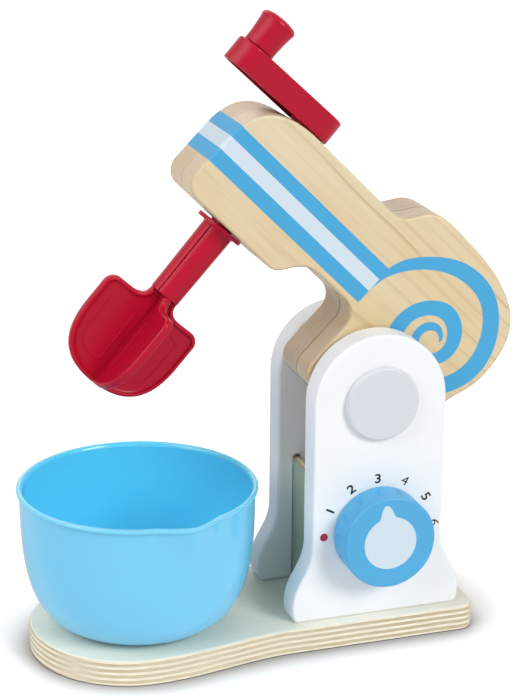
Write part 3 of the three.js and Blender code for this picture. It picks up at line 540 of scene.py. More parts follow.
# %% Pine
def pine(name, heart, drift, light, late):
    """Pine with rings about a line that lies at heart (across, up) and drifts along the board."""
    material, tree = blank(name)
    place = add(tree, "ShaderNodeTexCoord")
    level = on_level_head(tree, place)
    along = add(tree, "ShaderNodeSeparateXYZ", inputs={0: level}).outputs[0]
    behind = add(tree, "ShaderNodeMapRange", inputs={
        0: along, 1: pale_nose_until, 2: darker_ends_from, 3: 0.0, 4: 1.0}).outputs[0]
    colour = ring_colour(tree, level, heart, drift, light, late)
    colour, fibres = with_fibres(tree, colour, level)
    colour = with_end_grain(tree, colour, place, behind)
    colour = with_glue_line(tree, colour, place, behind)
    bump = add(tree, "ShaderNodeBump", inputs={
        "Strength": 0.25, "Distance": 0.05 * mm, "Height": fibres})
    shader = add(tree, "ShaderNodeBsdfPrincipled", inputs={
        "Base Color": colour, "Roughness": 0.48, "IOR": 1.5, "Coat Weight": 0.25,
        "Coat Roughness": 0.3, "Normal": bump.outputs[0]})
    add(tree, "ShaderNodeOutputMaterial", inputs={"Surface": shader.outputs[0]})
    return material


# Sawn, sanded and lacquered pine: pale cream with faint brown lines and a soft sheen
near_pine = pine("lacquered_pine_dial_side", (80 * mm, 5 * mm), -0.012, "#e1d0ae", "#bd9a68")
# The same wood from another tree: a little browner, with its rings bent the other way
far_pine = pine("lacquered_pine_far_side", (-85 * mm, 10 * mm), 0.02, "#dcc9a8", "#b08c64")
print("pine:", near_pine.name, far_pine.name)

# %% [markdown]
# ### Paint and printing ink
# The uprights are sprayed with white lacquer, and the dial with blue. A plain even colour would look
# like plastic: on wood the fibres still show as a very fine relief, and the film is never quite
# even. So the colour and the gloss each get a faint noise, stretched along the grain. The stripes
# and numbers are printed, a flat and thinner film, and use the same formula with less of both.

# %% Paint
paint_grain, paint_grain_length = 0.7 * mm, 40  # width of a fibre, and its length in widths
paint_clouds = 35.0  # per metre: the film's thickness varies over 29 mm


def painted(name, colour, roughness, grain_along, relief=0.04, cloud=0.03):
    """Sprayed paint on wood: its colour times a slow noise, its gloss and relief from the grain.

    The grain runs along the given axis. relief is its height in millimetres, and cloud is how much
    darker the thin places of the film are.
    """
    material, tree = blank(name)
    place = add(tree, "ShaderNodeTexCoord")
    stretch = [1 / paint_grain] * 3
    stretch[grain_along] /= paint_grain_length
    stretched = add(tree, "ShaderNodeMapping", inputs={0: place.outputs["Object"], 3: stretch})
    grain = add(tree, "ShaderNodeTexNoise", inputs={
        0: stretched.outputs[0], "Scale": 1.0, "Detail": 2.0})
    uneven = add(tree, "ShaderNodeTexNoise", inputs={
        0: place.outputs["Object"], "Scale": paint_clouds})
    shade = add(tree, "ShaderNodeMapRange", inputs={
        0: uneven.outputs["Fac"], 1: 0.3, 2: 0.7, 3: 1.0 - cloud, 4: 1.0})
    body = add(tree, "ShaderNodeMix", multiply, {0: 1.0, 6: linear(colour), 7: shade.outputs[0]})
    gloss = add(tree, "ShaderNodeMapRange", inputs={
        0: grain.outputs["Fac"], 1: 0.3, 2: 0.7, 3: roughness - 0.05, 4: roughness + 0.05})
    bump = add(tree, "ShaderNodeBump", inputs={
        "Strength": 0.3, "Distance": relief * mm, "Height": grain.outputs["Fac"]})
    shader = add(tree, "ShaderNodeBsdfPrincipled", inputs={
        "Base Color": body.outputs[2], "Roughness": gloss.outputs[0], "IOR": 1.5,
        "Normal": bump.outputs[0]})
    add(tree, "ShaderNodeOutputMaterial", inputs={"Surface": shader.outputs[0]})
    return material


upright, across_board = 2, 0
# White lacquer sprayed on wood: a cool satin white, with the grain just seen in its highlights
white_lacquer = painted("white_lacquer_on_wood", "#f3f5f7", 0.42, upright)
# Blue lacquer sprayed on the turned dial: a clear blue with soft highlights round the edge
blue_lacquer = painted("blue_lacquer_on_wood", "#4caadb", 0.4, across_board)
# Blue screen ink on lacquered pine: flat and even, a little duller than the lacquer round it
blue_ink = painted("blue_screen_ink", "#3fa4d6", 0.5, across_board, 0.02, 0.02)
# White screen ink on pine: thin, so it reads as a pale blue-grey beside the warm wood
white_ink = painted("white_screen_ink", "#d0dfea", 0.5, across_board, 0.02, 0.02)
# Pale pad print on the dial: the pointer, flat and almost white against the blue
dial_ink = painted("pale_pad_print", "#cddeea", 0.5, across_board, 0.01, 0.01)
# Black pad print: the numbers, matt and dense, so they read at once
black_ink = painted("black_pad_print", "#141416", 0.5, across_board, 0.01, 0.01)
# Red pad print: the dot that marks where the dial is off
red_ink = painted("red_pad_print", "#a81f38", 0.5, across_board, 0.01, 0.01)
print("paints:", white_lacquer.name, blue_lacquer.name, "and five inks")

# %% [markdown]
# ### Birch plywood: the bare edge
# The base is cut from plywood, thin sheets of birch glued crosswise. Its cut edge is left bare, so
# the plies show: light ones where the grain runs along the edge, browner ones where it is cut
# across, with a dark glue line between them. The plies could be modelled as nine thin boards, but
# they are flush and would only cost faces. Here the height in the board, counted in plies, picks
# the colour on a ramp that repeats every two plies.

# %% Plies
ply_count = 9
ply_waver, ply_waver_scale = 0.9 * mm, 28.0  # plies wander within this height, over 36 mm
streak_length, streak_width = 5 * mm, 0.5 * mm
brown_patches = 14.0  # per metre: the brown plies come and go over 71 mm


def ply_ramp(tree, pairs, turned_by):
    """Colours of two plies and their glue lines, by the part after the whole pairs of plies."""
    counted = add(tree, "ShaderNodeMath", plus, {0: pairs, 1: turned_by})
    phase = add(tree, "ShaderNodeMath", share_of_one, {0: counted.outputs[0]})
    return add(tree, "ShaderNodeValToRGB", inputs={0: phase.outputs[0]}, stops=[
        (0.00, linear("#a89270")),
        (0.07, linear("#f4ecd8")),
        (0.50, linear("#f8f1de")),
        (0.57, linear("#a89270")),
        (0.65, linear("#cbb894")),
        (0.93, linear("#c6b28d")),
        (1.00, linear("#a89270")),
    ]).outputs["Color"]


def ply_edge(tree, place, height, waver, facing, thickness, low, axis):
    """Colour of the cut edge: height over ply thickness, moved by noise, then streaked.

    A ply is brown where its grain is cut across. Every other ply is turned by a right angle, so the
    brown ones change places as the edge turns from one side of the board to its end.
    """
    half_waver = ply_waver / 2
    moved = add(tree, "ShaderNodeMath", scaled_plus, {0: waver, 1: ply_waver, 2: height})
    ply = add(tree, "ShaderNodeMapRange", {"clamp": False}, {
        0: moved.outputs[0], 1: low + half_waver, 2: low + thickness + half_waver,
        3: 0.0, 4: float(ply_count)})
    pairs = add(tree, "ShaderNodeMath", product, {0: ply.outputs[0], 1: 0.5}).outputs[0]
    on_side, on_end = ply_ramp(tree, pairs, 0.0), ply_ramp(tree, pairs, 0.5)
    to_side = add(tree, "ShaderNodeMath", size_of, {0: facing.outputs[1]})
    side_share = add(tree, "ShaderNodeMapRange", inputs={
        0: to_side.outputs[0], 1: 0.45, 2: 0.9, 3: 0.0, 4: 1.0})
    layered = add(tree, "ShaderNodeMix", mix, {0: side_share.outputs[0], 6: on_end, 7: on_side})
    streak_scale = [1 / streak_length] * 3
    streak_scale[axis] = 1 / streak_width
    along = add(tree, "ShaderNodeMapping", inputs={0: place.outputs["Object"], 3: streak_scale})
    streaks = add(tree, "ShaderNodeTexNoise", inputs={0: along.outputs[0], "Scale": 1.0, "Detail": 3.0})
    uneven = add(tree, "ShaderNodeMapRange", inputs={
        0: streaks.outputs["Fac"], 1: 0.3, 2: 0.7, 3: 0.86, 4: 1.05})
    # Along the edge the brown plies come and go, as their grain turns with the outline
    patches = add(tree, "ShaderNodeTexNoise", inputs={
        0: place.outputs["Object"], "Scale": brown_patches})
    strength = add(tree, "ShaderNodeMapRange", inputs={
        0: patches.outputs["Fac"], 1: 0.3, 2: 0.7, 3: 0.35, 4: 1.0})
    shown = add(tree, "ShaderNodeMix", mix, {
        0: strength.outputs[0], 6: linear("#e4dabf"), 7: layered.outputs[2]})
    edge = add(tree, "ShaderNodeMix", multiply, {0: 1.0, 6: shown.outputs[2], 7: uneven.outputs[0]})
    return edge.outputs[2], streaks.outputs["Fac"]


print("plies of the edge:", ply_count)

# %% [markdown]
# ### Birch plywood: the painted faces
# The faces have a thin coat of pale sage paint, through which the veneer's grain shows faintly.
# Painting could be done face by face with a second material. The shader decides instead, by how
# squarely a face looks out of the board, so the coat ends in a slightly uneven line on the eased
# edge, where sandpaper has gone over it.

# %% Plywood
veneer_grain = (18, 1 / (1.2 * mm), 1 / (1.2 * mm))  # per metre: 56 mm long, 1.2 mm wide


def face_coat(tree, place, parts, coat_colours):
    """Sage paint between two colours, by the veneer's noise, and cream in front of the column."""
    stretched = add(tree, "ShaderNodeMapping", inputs={0: place.outputs["Object"], 3: veneer_grain})
    veneer = add(tree, "ShaderNodeTexNoise", inputs={
        0: stretched.outputs[0], "Scale": 1.0, "Detail": 3.0})
    sage = add(tree, "ShaderNodeValToRGB", inputs={0: veneer.outputs["Fac"]}, stops=[
        (0.3, linear(coat_colours[0])), (0.7, linear(coat_colours[1]))])
    # In front of the column the top is made pale cream
    pale_front = add(tree, "ShaderNodeMapRange", inputs={
        0: parts.outputs[1], 1: -27 * mm, 2: -34 * mm, 3: 0.0, 4: 1.0})
    pale_along = add(tree, "ShaderNodeMapRange", inputs={
        0: parts.outputs[0], 1: -62 * mm, 2: -28 * mm, 3: 0.0, 4: 1.0})
    thin = add(tree, "ShaderNodeMath", product, {0: pale_front.outputs[0], 1: pale_along.outputs[0]})
    return add(tree, "ShaderNodeMix", mix, {
        0: thin.outputs[0], 6: sage.outputs["Color"], 7: linear("#efeede")}).outputs[2]


def plywood(name, thickness, low, axis, coat_colours):
    """Plywood whose plies are stacked along an axis from a low face, with painted faces."""
    material, tree = blank(name)
    place = add(tree, "ShaderNodeTexCoord")
    parts = add(tree, "ShaderNodeSeparateXYZ", inputs={0: place.outputs["Object"]})
    facing = add(tree, "ShaderNodeSeparateXYZ", inputs={0: place.outputs["Normal"]})
    waver = add(tree, "ShaderNodeTexNoise", inputs={
        0: place.outputs["Object"], "Scale": ply_waver_scale, "Detail": 2.0}).outputs["Fac"]
    edge, streaks = ply_edge(
        tree, place, parts.outputs[axis], waver, facing, thickness, low, axis)
    coat = face_coat(tree, place, parts, coat_colours)
    square = add(tree, "ShaderNodeMath", size_of, {0: facing.outputs[axis]})
    rough_border = add(tree, "ShaderNodeMath", scaled_plus, {0: waver, 1: 0.3, 2: square.outputs[0]})
    coated = add(tree, "ShaderNodeMapRange", inputs={
        0: rough_border.outputs[0], 1: 0.80, 2: 0.92, 3: 0.0, 4: 1.0})
    colour = add(tree, "ShaderNodeMix", mix, {0: coated.outputs[0], 6: edge, 7: coat})
    bump = add(tree, "ShaderNodeBump", inputs={
        "Strength": 0.35, "Distance": 0.08 * mm, "Height": streaks})
    shader = add(tree, "ShaderNodeBsdfPrincipled", inputs={
        "Base Color": colour.outputs[2], "Roughness": 0.55, "IOR": 1.5, "Normal": bump.outputs[0]})
    add(tree, "ShaderNodeOutputMaterial", inputs={"Surface": shader.outputs[0]})
    return material


base_low, base_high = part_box("base_board")
base_thickness = base_high.z - base_low.z
# Birch plywood, thinly painted: almost white on top, with a layered cream and brown edge
base_ply = plywood(
    "sage_painted_birch_plywood", base_thickness, base_low.z, 2, ("#ecead8", "#f3f0df"))
# The same in three plies, for the thin panels that close the column. Their coat is the base's paint
# made darker and greener: painted shade, as the panels stand back between the uprights.
panel_plies = {}
for panel in ("front_panel", "rear_panel"):
    low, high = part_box(panel)
    panel_plies[panel] = plywood(
        f"{panel}_plywood", (high.x - low.x) * 3, low.x, 0, ("#9fac98", "#aab7a2"))
print("plies of", round(base_thickness / ply_count / mm, 2), "mm")

# %% [markdown]
# ### Moulded plastic
# The crank and beater look like a red plastic such as ABS, moulded with a fine satin texture. The
# bowl is softer and slightly waxy, as polypropylene is, and daylight comes through its wall. Its
# depth could be got by tracing light through a clear shader, which is slow and noisy. A share of
# subsurface scattering gives the same glow. The inside gets light through the wall and from its
# own walls, so it is given a deeper, brighter blue: painted light on a plastic of one colour.

# %% Moulded plastic
inside_from, inside_full = -8 * mm, -34 * mm  # how far a face looks towards the bowl's axis


def moulded(name, colour, roughness, texture=0.35, relief=0.012, shine=0.5, painted_inside_light=None, glow=0.0):
    """Moulded plastic: an even colour with the tool's fine texture in relief and in gloss.

    texture is the spacing of that texture in millimetres, coarser than a real tool's so that it
    shows, and relief is its height. glow is the share of light that scatters under the surface.
    A lining colour, with the (x, y) of its axis, gives a bowl's inside another colour: painted
    light, for the light that comes through the wall and bounces inside. A face is inside where
    the level vector from the axis to it, times its normal, is negative.
    """
    material, tree = blank(name)
    place = add(tree, "ShaderNodeTexCoord")
    body = linear(colour)
    # Painted light: the inside takes a deeper, brighter blue for the light that comes through the wall
    # and bounces inside the bowl
    if painted_inside_light:
        painted_inside_colour, axis = painted_inside_light
        from_axis = add(tree, "ShaderNodeMapping", {"vector_type": "TEXTURE"}, {
            0: place.outputs["Object"], 1: (*axis, 0)})
        level = add(tree, "ShaderNodeVectorMath", product, {0: from_axis.outputs[0], 1: (1, 1, 0)})
        looks_out = add(tree, "ShaderNodeVectorMath", {"operation": "DOT_PRODUCT"}, {
            0: level.outputs[0], 1: place.outputs["Normal"]})
        inside = add(tree, "ShaderNodeMapRange", inputs={
            0: looks_out.outputs["Value"], 1: inside_from, 2: inside_full, 3: 0.0, 4: 1.0})
        body = add(tree, "ShaderNodeMix", mix, {
            0: inside.outputs[0], 6: body, 7: linear(painted_inside_colour)}).outputs[2]
    grains = add(tree, "ShaderNodeTexNoise", inputs={
        0: place.outputs["Object"], "Scale": 1 / (texture * mm), "Detail": 2.0})
    gloss = add(tree, "ShaderNodeMapRange", inputs={
        0: grains.outputs["Fac"], 1: 0.2, 2: 0.8, 3: roughness - 0.05, 4: roughness + 0.05})
    shade = add(tree, "ShaderNodeMapRange", inputs={
        0: grains.outputs["Fac"], 1: 0.2, 2: 0.8, 3: 0.985, 4: 1.0})
    shaded = add(tree, "ShaderNodeMix", multiply, {0: 1.0, 6: body, 7: shade.outputs[0]})
    bump = add(tree, "ShaderNodeBump", inputs={
        "Strength": 0.3, "Distance": relief * mm, "Height": grains.outputs["Fac"]})
    shader = add(tree, "ShaderNodeBsdfPrincipled", inputs={
        "Base Color": shaded.outputs[2],
        "Roughness": gloss.outputs[0], "IOR": 1.5, "Specular IOR Level": shine,
        "Subsurface Weight": glow, "Subsurface Radius": (1.5 * mm, 4 * mm, 6 * mm),
        "Subsurface Scale": 1.0, "Normal": bump.outputs[0]})
    add(tree, "ShaderNodeOutputMaterial", inputs={"Surface": shader.outputs[0]})
    return material


# Red moulded plastic, as ABS: a deep even red with broad satin highlights
red_plastic = moulded("red_moulded_plastic", "#b60d2d", 0.29, shine=0.2)
# Pale grey moulded plastic: the caps, a matt grey that stands off the white lacquer
cap_plastic = moulded("pale_grey_plastic", "#d5d9df", 0.42)
# Natural nylon: the click parts, a milky white with a dull sheen
nylon = moulded("natural_nylon", "#e6e4da", 0.5)
print("plastics:", red_plastic.name, cap_plastic.name, nylon.name)

# %% [markdown]
# ### Plated steel, fibre and bare beech
# Zinc plating is a metal whose gloss varies a little where it was tumbled with others. A mirror-like
# metal would look like chrome, so a fine noise spreads its roughness. Pressed fibre and bare beech
# are dull and uneven, which the paint's formula already gives when its gloss is taken away.

# %% Steel and small parts
zinc_grain = 900.0  # per metre: a spangle of 1.1 mm, coarser than the real one, so that it shows


def plated(name, colour, roughness):
    """Plated steel: a metal whose roughness follows a fine noise."""
    material, tree = blank(name)
    place = add(tree, "ShaderNodeTexCoord")
    spangle = add(tree, "ShaderNodeTexNoise", inputs={
        0: place.outputs["Object"], "Scale": zinc_grain})
    gloss = add(tree, "ShaderNodeMapRange", inputs={
        0: spangle.outputs["Fac"], 1: 0.3, 2: 0.7, 3: roughness - 0.08, 4: roughness + 0.08})
    shader = add(tree, "ShaderNodeBsdfPrincipled", inputs={
        "Base Color": linear(colour), "Metallic": 1.0, "Roughness": gloss.outputs[0]})
    add(tree, "ShaderNodeOutputMaterial", inputs={"Surface": shader.outputs[0]})
    return material


# Pressed fibre: the friction washers, brown and quite dull
fibre = painted("pressed_fibre", "#8a6a4a", 0.85, across_board, 0.05, 0.15)
# Bare beech: the dowel, a warm tan without any lacquer
beech = painted("bare_beech", "#d8c092", 0.7, 1, 0.05, 0.1)
# Zinc plated steel: bolt, nut, screws and washers, a grey metal with blurred reflections
zinc = plated("zinc_plated_steel", "#bcc0c4", 0.34)
print("small parts:", fibre.name, beech.name, zinc.name)

# %% [markdown]
# ## The base
# The base is sawn from one plywood board: a straight end under the column and a round end under the
# bowl, joined by two long S curves, with edges only just broken, as sandpaper leaves them. A bevel
# modifier would round the edges too, but it can't know where the seats of the screws are to stay
# sharp. So the outline is drawn in row by row for the edge, and the seats are carved out after it.

# %% Base board
column_end_half, column_end_reach, column_end_corner = 38.8 * mm, 51.3 * mm, 8 * mm
bowl_end_radius, bowl_end_reach = 49 * mm, 116 * mm
waist_reach, waist_shares = 45 * mm, (0.38, 0.32)
base_ease = 1.2 * mm

corner_x, corner_y = column_end_reach - column_end_corner, column_end_half - column_end_corner
base_loop = outline(
    arc((corner_x, -corner_y), column_end_corner, -90, 0),
    arc((corner_x, corner_y), column_end_corner, 0, 90),
    swing((-waist_reach, column_end_half), (-bowl_end_reach, bowl_end_radius), 0, 0,
          waist_shares[::-1]),
    arc((-bowl_end_reach, 0), bowl_end_radius, 90, 270, 72),
    swing((-bowl_end_reach, -bowl_end_radius), (-waist_reach, -column_end_half), 0, 0, waist_shares),
)
base_grid = ringed(base_loop, eased(base_thickness, base_ease, base_ease, 4))

shank_radius, cone_height, past_board = 2.3 * mm, 2.9 * mm, 20 * mm
below_board = -1 * mm
screw_seats = []
for screw in sorted(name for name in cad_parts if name.startswith("base_screw")):
    low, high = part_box(screw)
    middle = (low + high) / 2
    head = (high.x - low.x) / 2 + running_gap
    seat = turned([
        (0, below_board), (head, below_board), (head, low.z), (shank_radius, low.z + cone_height),
        (shank_radius, past_board), (0, past_board),
    ], 48)
    screw_seats.append(surface("seat", placed(seat, Matrix.Translation((middle.x, middle.y, 0)))))
base_mesh = carved(surface("base", base_grid), *screw_seats)
dress("plywood_base", base_mesh, "stand", base_ply, ["base_board"])

# %% [markdown]
# ## The uprights
# Each upright is a white painted board with a round top about the pivot, straight sides and a foot
# that swells out and tucks in again. Its inner face has a groove for each thin panel, and the
# groove's round end shows as a dark hole above the front panel. The grooves could be left out where
# the panels fill them, but the panels would then pass through solid wood, and the hole would be
# missing. So both boards come from one outline and are carved by simple blocks.

# %% Uprights
upright_half, foot_half = 33.6 * mm, 43.6 * mm
flare_top, foot_belly, foot_corner = 52 * mm, 20 * mm, 3 * mm
flare_shares, foot_shares = (0.44, 0.44), (0.7, 0.5)
upright_ease = 1.5 * mm
groove_depth, groove_width, groove_top = 4 * mm, 4.6 * mm, 80.6 * mm
recess_radius, recess_depth = 9 * mm, 8 * mm
dowel_hole_radius, dowel_hole_depth = 4.3 * mm, 5 * mm

upright_loop = outline(
    [(-foot_half + foot_corner, base_thickness), (foot_half - foot_corner, base_thickness)],
    swing((foot_half - foot_corner, base_thickness), (foot_half, foot_belly), 0, 1, foot_shares, 10),
    swing((foot_half, foot_belly), (upright_half, flare_top), 1, 1, flare_shares),
    arc((0, pivot_height), upright_half, 0, 180, 90),
    swing((-upright_half, flare_top), (-foot_half, foot_belly), 1, 1, flare_shares),
    swing((-foot_half, foot_belly), (-foot_half + foot_corner, base_thickness), 1, 0,
          foot_shares[::-1], 10),
)


def slot_cutter(middle_x, y_from, y_to):
    """Block with a round top, as the groove for a panel: straight sides and half a circle."""
    round_centre = groove_top - groove_width / 2
    loop = outline(
        [(middle_x - groove_width / 2, 0), (middle_x + groove_width / 2, 0)],
        arc((middle_x, round_centre), groove_width / 2, 0, 180, 16),
    )
    return surface("slot", placed(ringed(loop, [(0, 0), (0, y_to - y_from)]), standing(y_from)))


def disc_cutter(radius, y_from, y_to, x=0.0, z=pivot_height):
    """Round hole in a standing board, with 60 sides."""
    loop = outline(arc((x, z), radius, 0, 354, 59))
    return surface("hole", placed(ringed(loop, [(0, 0), (0, y_to - y_from)]), standing(y_from)))


def upright_board(node, side):
    """Upright on the given side, carved where the panels, dowel and bolt go in."""
    low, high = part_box(node)
    thickness = high.y - low.y
    inner = low.y if side > 0 else high.y
    outer = high.y if side > 0 else low.y
    board = surface(node, placed(
        ringed(upright_loop, eased(thickness, upright_ease, upright_ease)), standing(low.y)))
    cutters = []
    over = 1 * mm
    for panel in panel_plies:
        panel_low, panel_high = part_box(panel)
        ends = sorted([inner - side * over, inner + side * groove_depth])
        cutters.append(slot_cutter((panel_low.x + panel_high.x) / 2, *ends))
    dowel_low, dowel_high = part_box("stop_dowel")
    dowel = (dowel_low + dowel_high) / 2
    ends = sorted([inner - side * over, inner + side * dowel_hole_depth])
    cutters.append(disc_cutter(dowel_hole_radius, *ends, x=dowel.x, z=dowel.z))
    ends = sorted([outer + side * over, outer - side * recess_depth])
    cutters.append(disc_cutter(recess_radius, *ends))
    return carved(board, *cutters)


for node, side in (("dial_side_upright", -1), ("far_side_upright", 1)):
    dress(node.replace("upright", "white_board"), upright_board(node, side), "stand",
          white_lacquer, [node])

# %% [markdown]
# ## Pivot caps and dowel
# The two caps that cover the bolt's ends are plastic discs with a soft rim and a spigot behind, and
# the dowel that stops the head is a plain round peg. A cylinder with a bevel would do, but its rim
# would be round on both faces, and these caps lie flat on the wood. Both are turned from a profile,
# as on a lathe, and laid on their sides.

# %% Pivot caps and dowel
cap_radius, cap_thickness, cap_ease, cap_spigot = 18.3 * mm, 3.4 * mm, 1.4 * mm, 1.5 * mm
cap_back_ease = 0.2 * mm
rim = arc((cap_radius - cap_ease, cap_thickness - cap_ease), cap_ease, 0, 90, 8)
cap_profile = [
    (0, -cap_spigot), (recess_radius - running_gap, -cap_spigot), (recess_radius - running_gap, 0),
    (cap_radius - cap_back_ease, 0), (cap_radius, cap_back_ease), *rim, (0, cap_thickness),
]
for node, side in (("dial_side_pivot_cap", -1), ("far_side_pivot_cap", 1)):
    low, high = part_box(node)
    face = (low.y + cap_thickness) if side < 0 else (high.y - cap_thickness)
    quarter = Matrix.Rotation(math.pi / 2 if side < 0 else -math.pi / 2, 4, "X")
    cap = placed(turned(cap_profile, 160), Matrix.Translation((0, face, pivot_height)) @ quarter)
    dress(node.replace("pivot_cap", "round_cap"), surface(node, cap), "stand", cap_plastic,
          [node])

low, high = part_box("stop_dowel")
peg_radius = (high.z - low.z) / 2
middle = (low + high) / 2
peg = turned([(0, low.y), (peg_radius, low.y), (peg_radius, high.y), (0, high.y)], 64)
peg = placed(peg, Matrix.Translation((middle.x, 0, middle.z)) @ Matrix.Rotation(-math.pi / 2, 4, "X"))
dress("dowel_stop", surface("dowel", peg), "stand", beech, ["stop_dowel"])

# %% [markdown]
# ## The head's outline
# The head is two pine boards of one outline: a rounded nose, a flat underside that steps up to the
# neck, a squared neck below the pivot, and a full round tail. The outline could be a drawn curve
# object, but its handles would hide the sizes that a woodworker needs. Here each run is an arc or a
# curve with its reach, height and shares named, drawn with the head level.

# %% Head outline
nose_reach, nose_corner = 142.3 * mm, 9 * mm
nose_curve_reach, nose_curve_drop, nose_shares = 34.3 * mm, 27.2 * mm, (0.465, 0.858)
step_reach, step_run, step_rise, step_shares = 84 * mm, 22 * mm, 13.6 * mm, (0.41, 0.64)
throat_radius, neck_half, neck_drop, neck_corner = 9.5 * mm, 34 * mm, 17 * mm, 8.5 * mm
tail_flare_start, tail_belly_reach, tail_belly_height = 8 * mm, 41.3 * mm, 45 * mm
tail_shares, crest_shares, bump_shares = (0.56, 0.42), (0.71, 0.747), (0.72, 0.5)
crest_height, crest_start, crest_end, bump_foot = 85.4 * mm, 20 * mm, 27 * mm, 57 * mm
head_ease = 1.6 * mm

step_top = head_underside + step_rise
nose_top_end = (-nose_reach, head_top - nose_curve_drop)
nose_curve = swing((-nose_reach + nose_curve_reach, head_top), nose_top_end, 0, 1, nose_shares, 40)
head_loop = outline(
    arc((-nose_reach + nose_corner, head_underside + nose_corner), nose_corner, 180, 270),
    swing((-step_reach, head_underside), (-step_reach + step_run, step_top), 0, 0, step_shares),
    arc((-neck_half - throat_radius, step_top - throat_radius), throat_radius, 90, 0, 14),
    arc((-neck_half + neck_corner, -neck_drop + neck_corner), neck_corner, 180, 270, 10),
    arc((neck_half - neck_corner, -neck_drop + neck_corner), neck_corner, 270, 360, 10),
    swing((neck_half, tail_flare_start), (tail_belly_reach, tail_belly_height), 1, 1, tail_shares),
    swing((tail_belly_reach, tail_belly_height), (-crest_start, crest_height), 1, 0,
          crest_shares, 48),
    swing((-crest_end, crest_height), (-bump_foot, head_top), 0, 0, bump_shares),
    nose_curve,
)
print("head outline of", len(head_loop), "points")

# %% [markdown]
# ## The head's boards
# On such a head the two boards are glued first and then shaped together, so only the outer faces
# have a rounded edge, and at the glue line each edge is no more than broken. One thick board with a
# drawn line could stand for both, but they are two pieces of wood with rings of their own. So each
# board gets the outline with an ease of its own at each face, and then the shaft's bore.

# %% Head boards
bore_radius, bore_half = 6.8 * mm, 60 * mm
glue_break = 0.06 * mm  # each board's edge at the glue line is only just broken
head_low, head_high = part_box("dial_side_head_board")
far_low, far_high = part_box("far_side_head_board")
front_face, back_face = head_low.y, far_high.y

shaft_bore = turned([
    (0, -bore_half), (bore_radius, -bore_half), (bore_radius, bore_half), (0, bore_half)], 64)


def head_board(name, y_from, y_to, first_ease, last_ease):
    """A board of the head: the outline with its own ease at each face, bored for the shaft."""
    grid = ringed(head_loop, eased(y_to - y_from, first_ease, last_ease))
    board = surface(name, placed(grid, head_place @ standing(y_from)))
    return carved(board, surface("bore", placed(shaft_bore, shaft_place)))


near_board = head_board("near", front_face, head_high.y, head_ease, glue_break)
dress("dial_side_pine_board", near_board, "head", near_pine, ["dial_side_head_board"])
far_board = head_board("far", far_low.y, back_face, glue_break, head_ease)
dress("far_side_pine_board", far_board, "head", far_pine, ["far_side_head_board"])

# %% [markdown]
# ## The printed stripes
# Two blue stripes and a white one are screen printed along both faces and round the nose. They could
# be part of the pine's material, but a shader's edge between two colours has no thickness, and ink
# has. Each stripe is a film that follows the board's section at its own height: along the face,
# round the eased edge, across the nose and back. It stands a few hundredths of a millimetre proud.

# %% Stripes round the nose
film_proud, film_sunk = 0.06 * mm, 0.06 * mm
stripe_end = 37.3 * mm
stripe_edges = [27.6 * mm, 35.0 * mm, 42.4 * mm, 49.4 * mm]

# The nose as a function of height: how far out it is, and which way it faces
nose_line = np.concatenate([[(-nose_reach, head_underside + nose_corner)], nose_curve[::-1]])
nose_edge = np.gradient(nose_line, axis=0)
nose_edge[0] = (0, 1)
nose_facing = np.arctan2(nose_edge[:, 0], nose_edge[:, 1])


def stripe(low, high):
    """Closed film between two heights.

    A row is one station along the board's section: a point on the outline, moved in by the ease
    times 1 - sin a and sideways by the ease times 1 - cos a, a being the turn round the edge. A row
    runs up the outer skin of the film and down its inner skin.
    """
    heights = np.linspace(low, high, 13)
    out = np.interp(heights, nose_line[:, 1], nose_line[:, 0])
    facing = np.interp(heights, nose_line[:, 1], nose_facing)
    normal = np.stack([-np.cos(facing), np.sin(facing)], axis=1)
    half = (back_face - front_face) / 2
    middle = (back_face + front_face) / 2

    def station(turn_round, side, from_nose=0.0):
        """One row of the film, by the turn round the edge, the side and a given end along it."""
        inset = head_ease * (1 - math.sin(turn_round))
        skins = []
        for off in (film_proud, -film_sunk):
            flat = np.stack([out, heights], axis=1) - normal * (inset - off * math.sin(turn_round))
            if from_nose:
                flat[:, 0] = from_nose
            depth = half - head_ease * (1 - math.cos(turn_round)) + off * math.cos(turn_round)
            skins.append(np.column_stack([flat, np.full(len(flat), middle + side * depth)]))
        return np.concatenate([skins[0], skins[1][::-1]])

    turns = np.linspace(0, math.pi / 2, 9)
    rows = [station(0, -1, -stripe_end)]
    rows += [station(t, -1) for t in turns]
    rows += [station(t, 1) for t in turns[::-1]]
    rows += [station(0, 1, -stripe_end)]
    return surface("stripe", placed(np.array(rows), head_place @ standing(0)))


stripes = (("lower_blue_stripe", blue_ink), ("white_stripe", white_ink),
           ("upper_blue_stripe", blue_ink))
for (name, ink), low, high in zip(stripes, stripe_edges, stripe_edges[1:]):
    dress(name, stripe(low, high), "head", ink)

# %% [markdown]
# ## The spiral
# The upper stripe runs into a spiral on the tail, printed in the same ink. A plain spiral, whose
# radius shrinks by the same amount for each degree, would be one line of code, but the printed one
# swells and narrows by eye. So it is a band between two edges, each a radius as a smooth function of
# the angle through values in millimetres, which goes on for almost two and a half turns.

# %% Spiral
spiral_centre = (5 * mm, 38 * mm)
under_stripe = 0.02 * mm  # the spiral's film is this much thinner, so the stripes end on top of it
spiral_stations = 420
spiral_angles = [-4.1, 3, 8.5, 15, 25, 35, 45, 70, 100, 135, 170, 205, 270, 340, 372, 400, 440, 470,
                 500, 540, 570, 630, 690, 720, 760, 800, 835, 862, 871]
spiral_outer = [44.2, 44.2, 44.1, 44.0, 43.9, 42.8, 41.9, 41.0, 39.6, 36.3, 33.4, 29.6, 25.6, 22.5,
                21.2, 20.2, 19.6, 18.2, 16.7, 14.8, 13.1, 11.0, 9.7, 9.5, 9.3, 8.7, 7.6, 6.5, 5.5]
spiral_inner = [42.4, 41.6, 41.1, 40.0, 38.2, 36.6, 35.3, 33.1, 31.2, 27.2, 24.0, 21.0, 17.3, 14.4,
                13.6, 12.8, 11.7, 10.1, 9.0, 7.9, 7.0, 5.9, 5.3, 5.0, 5.0, 5.2, 5.1, 5.2, 5.3]


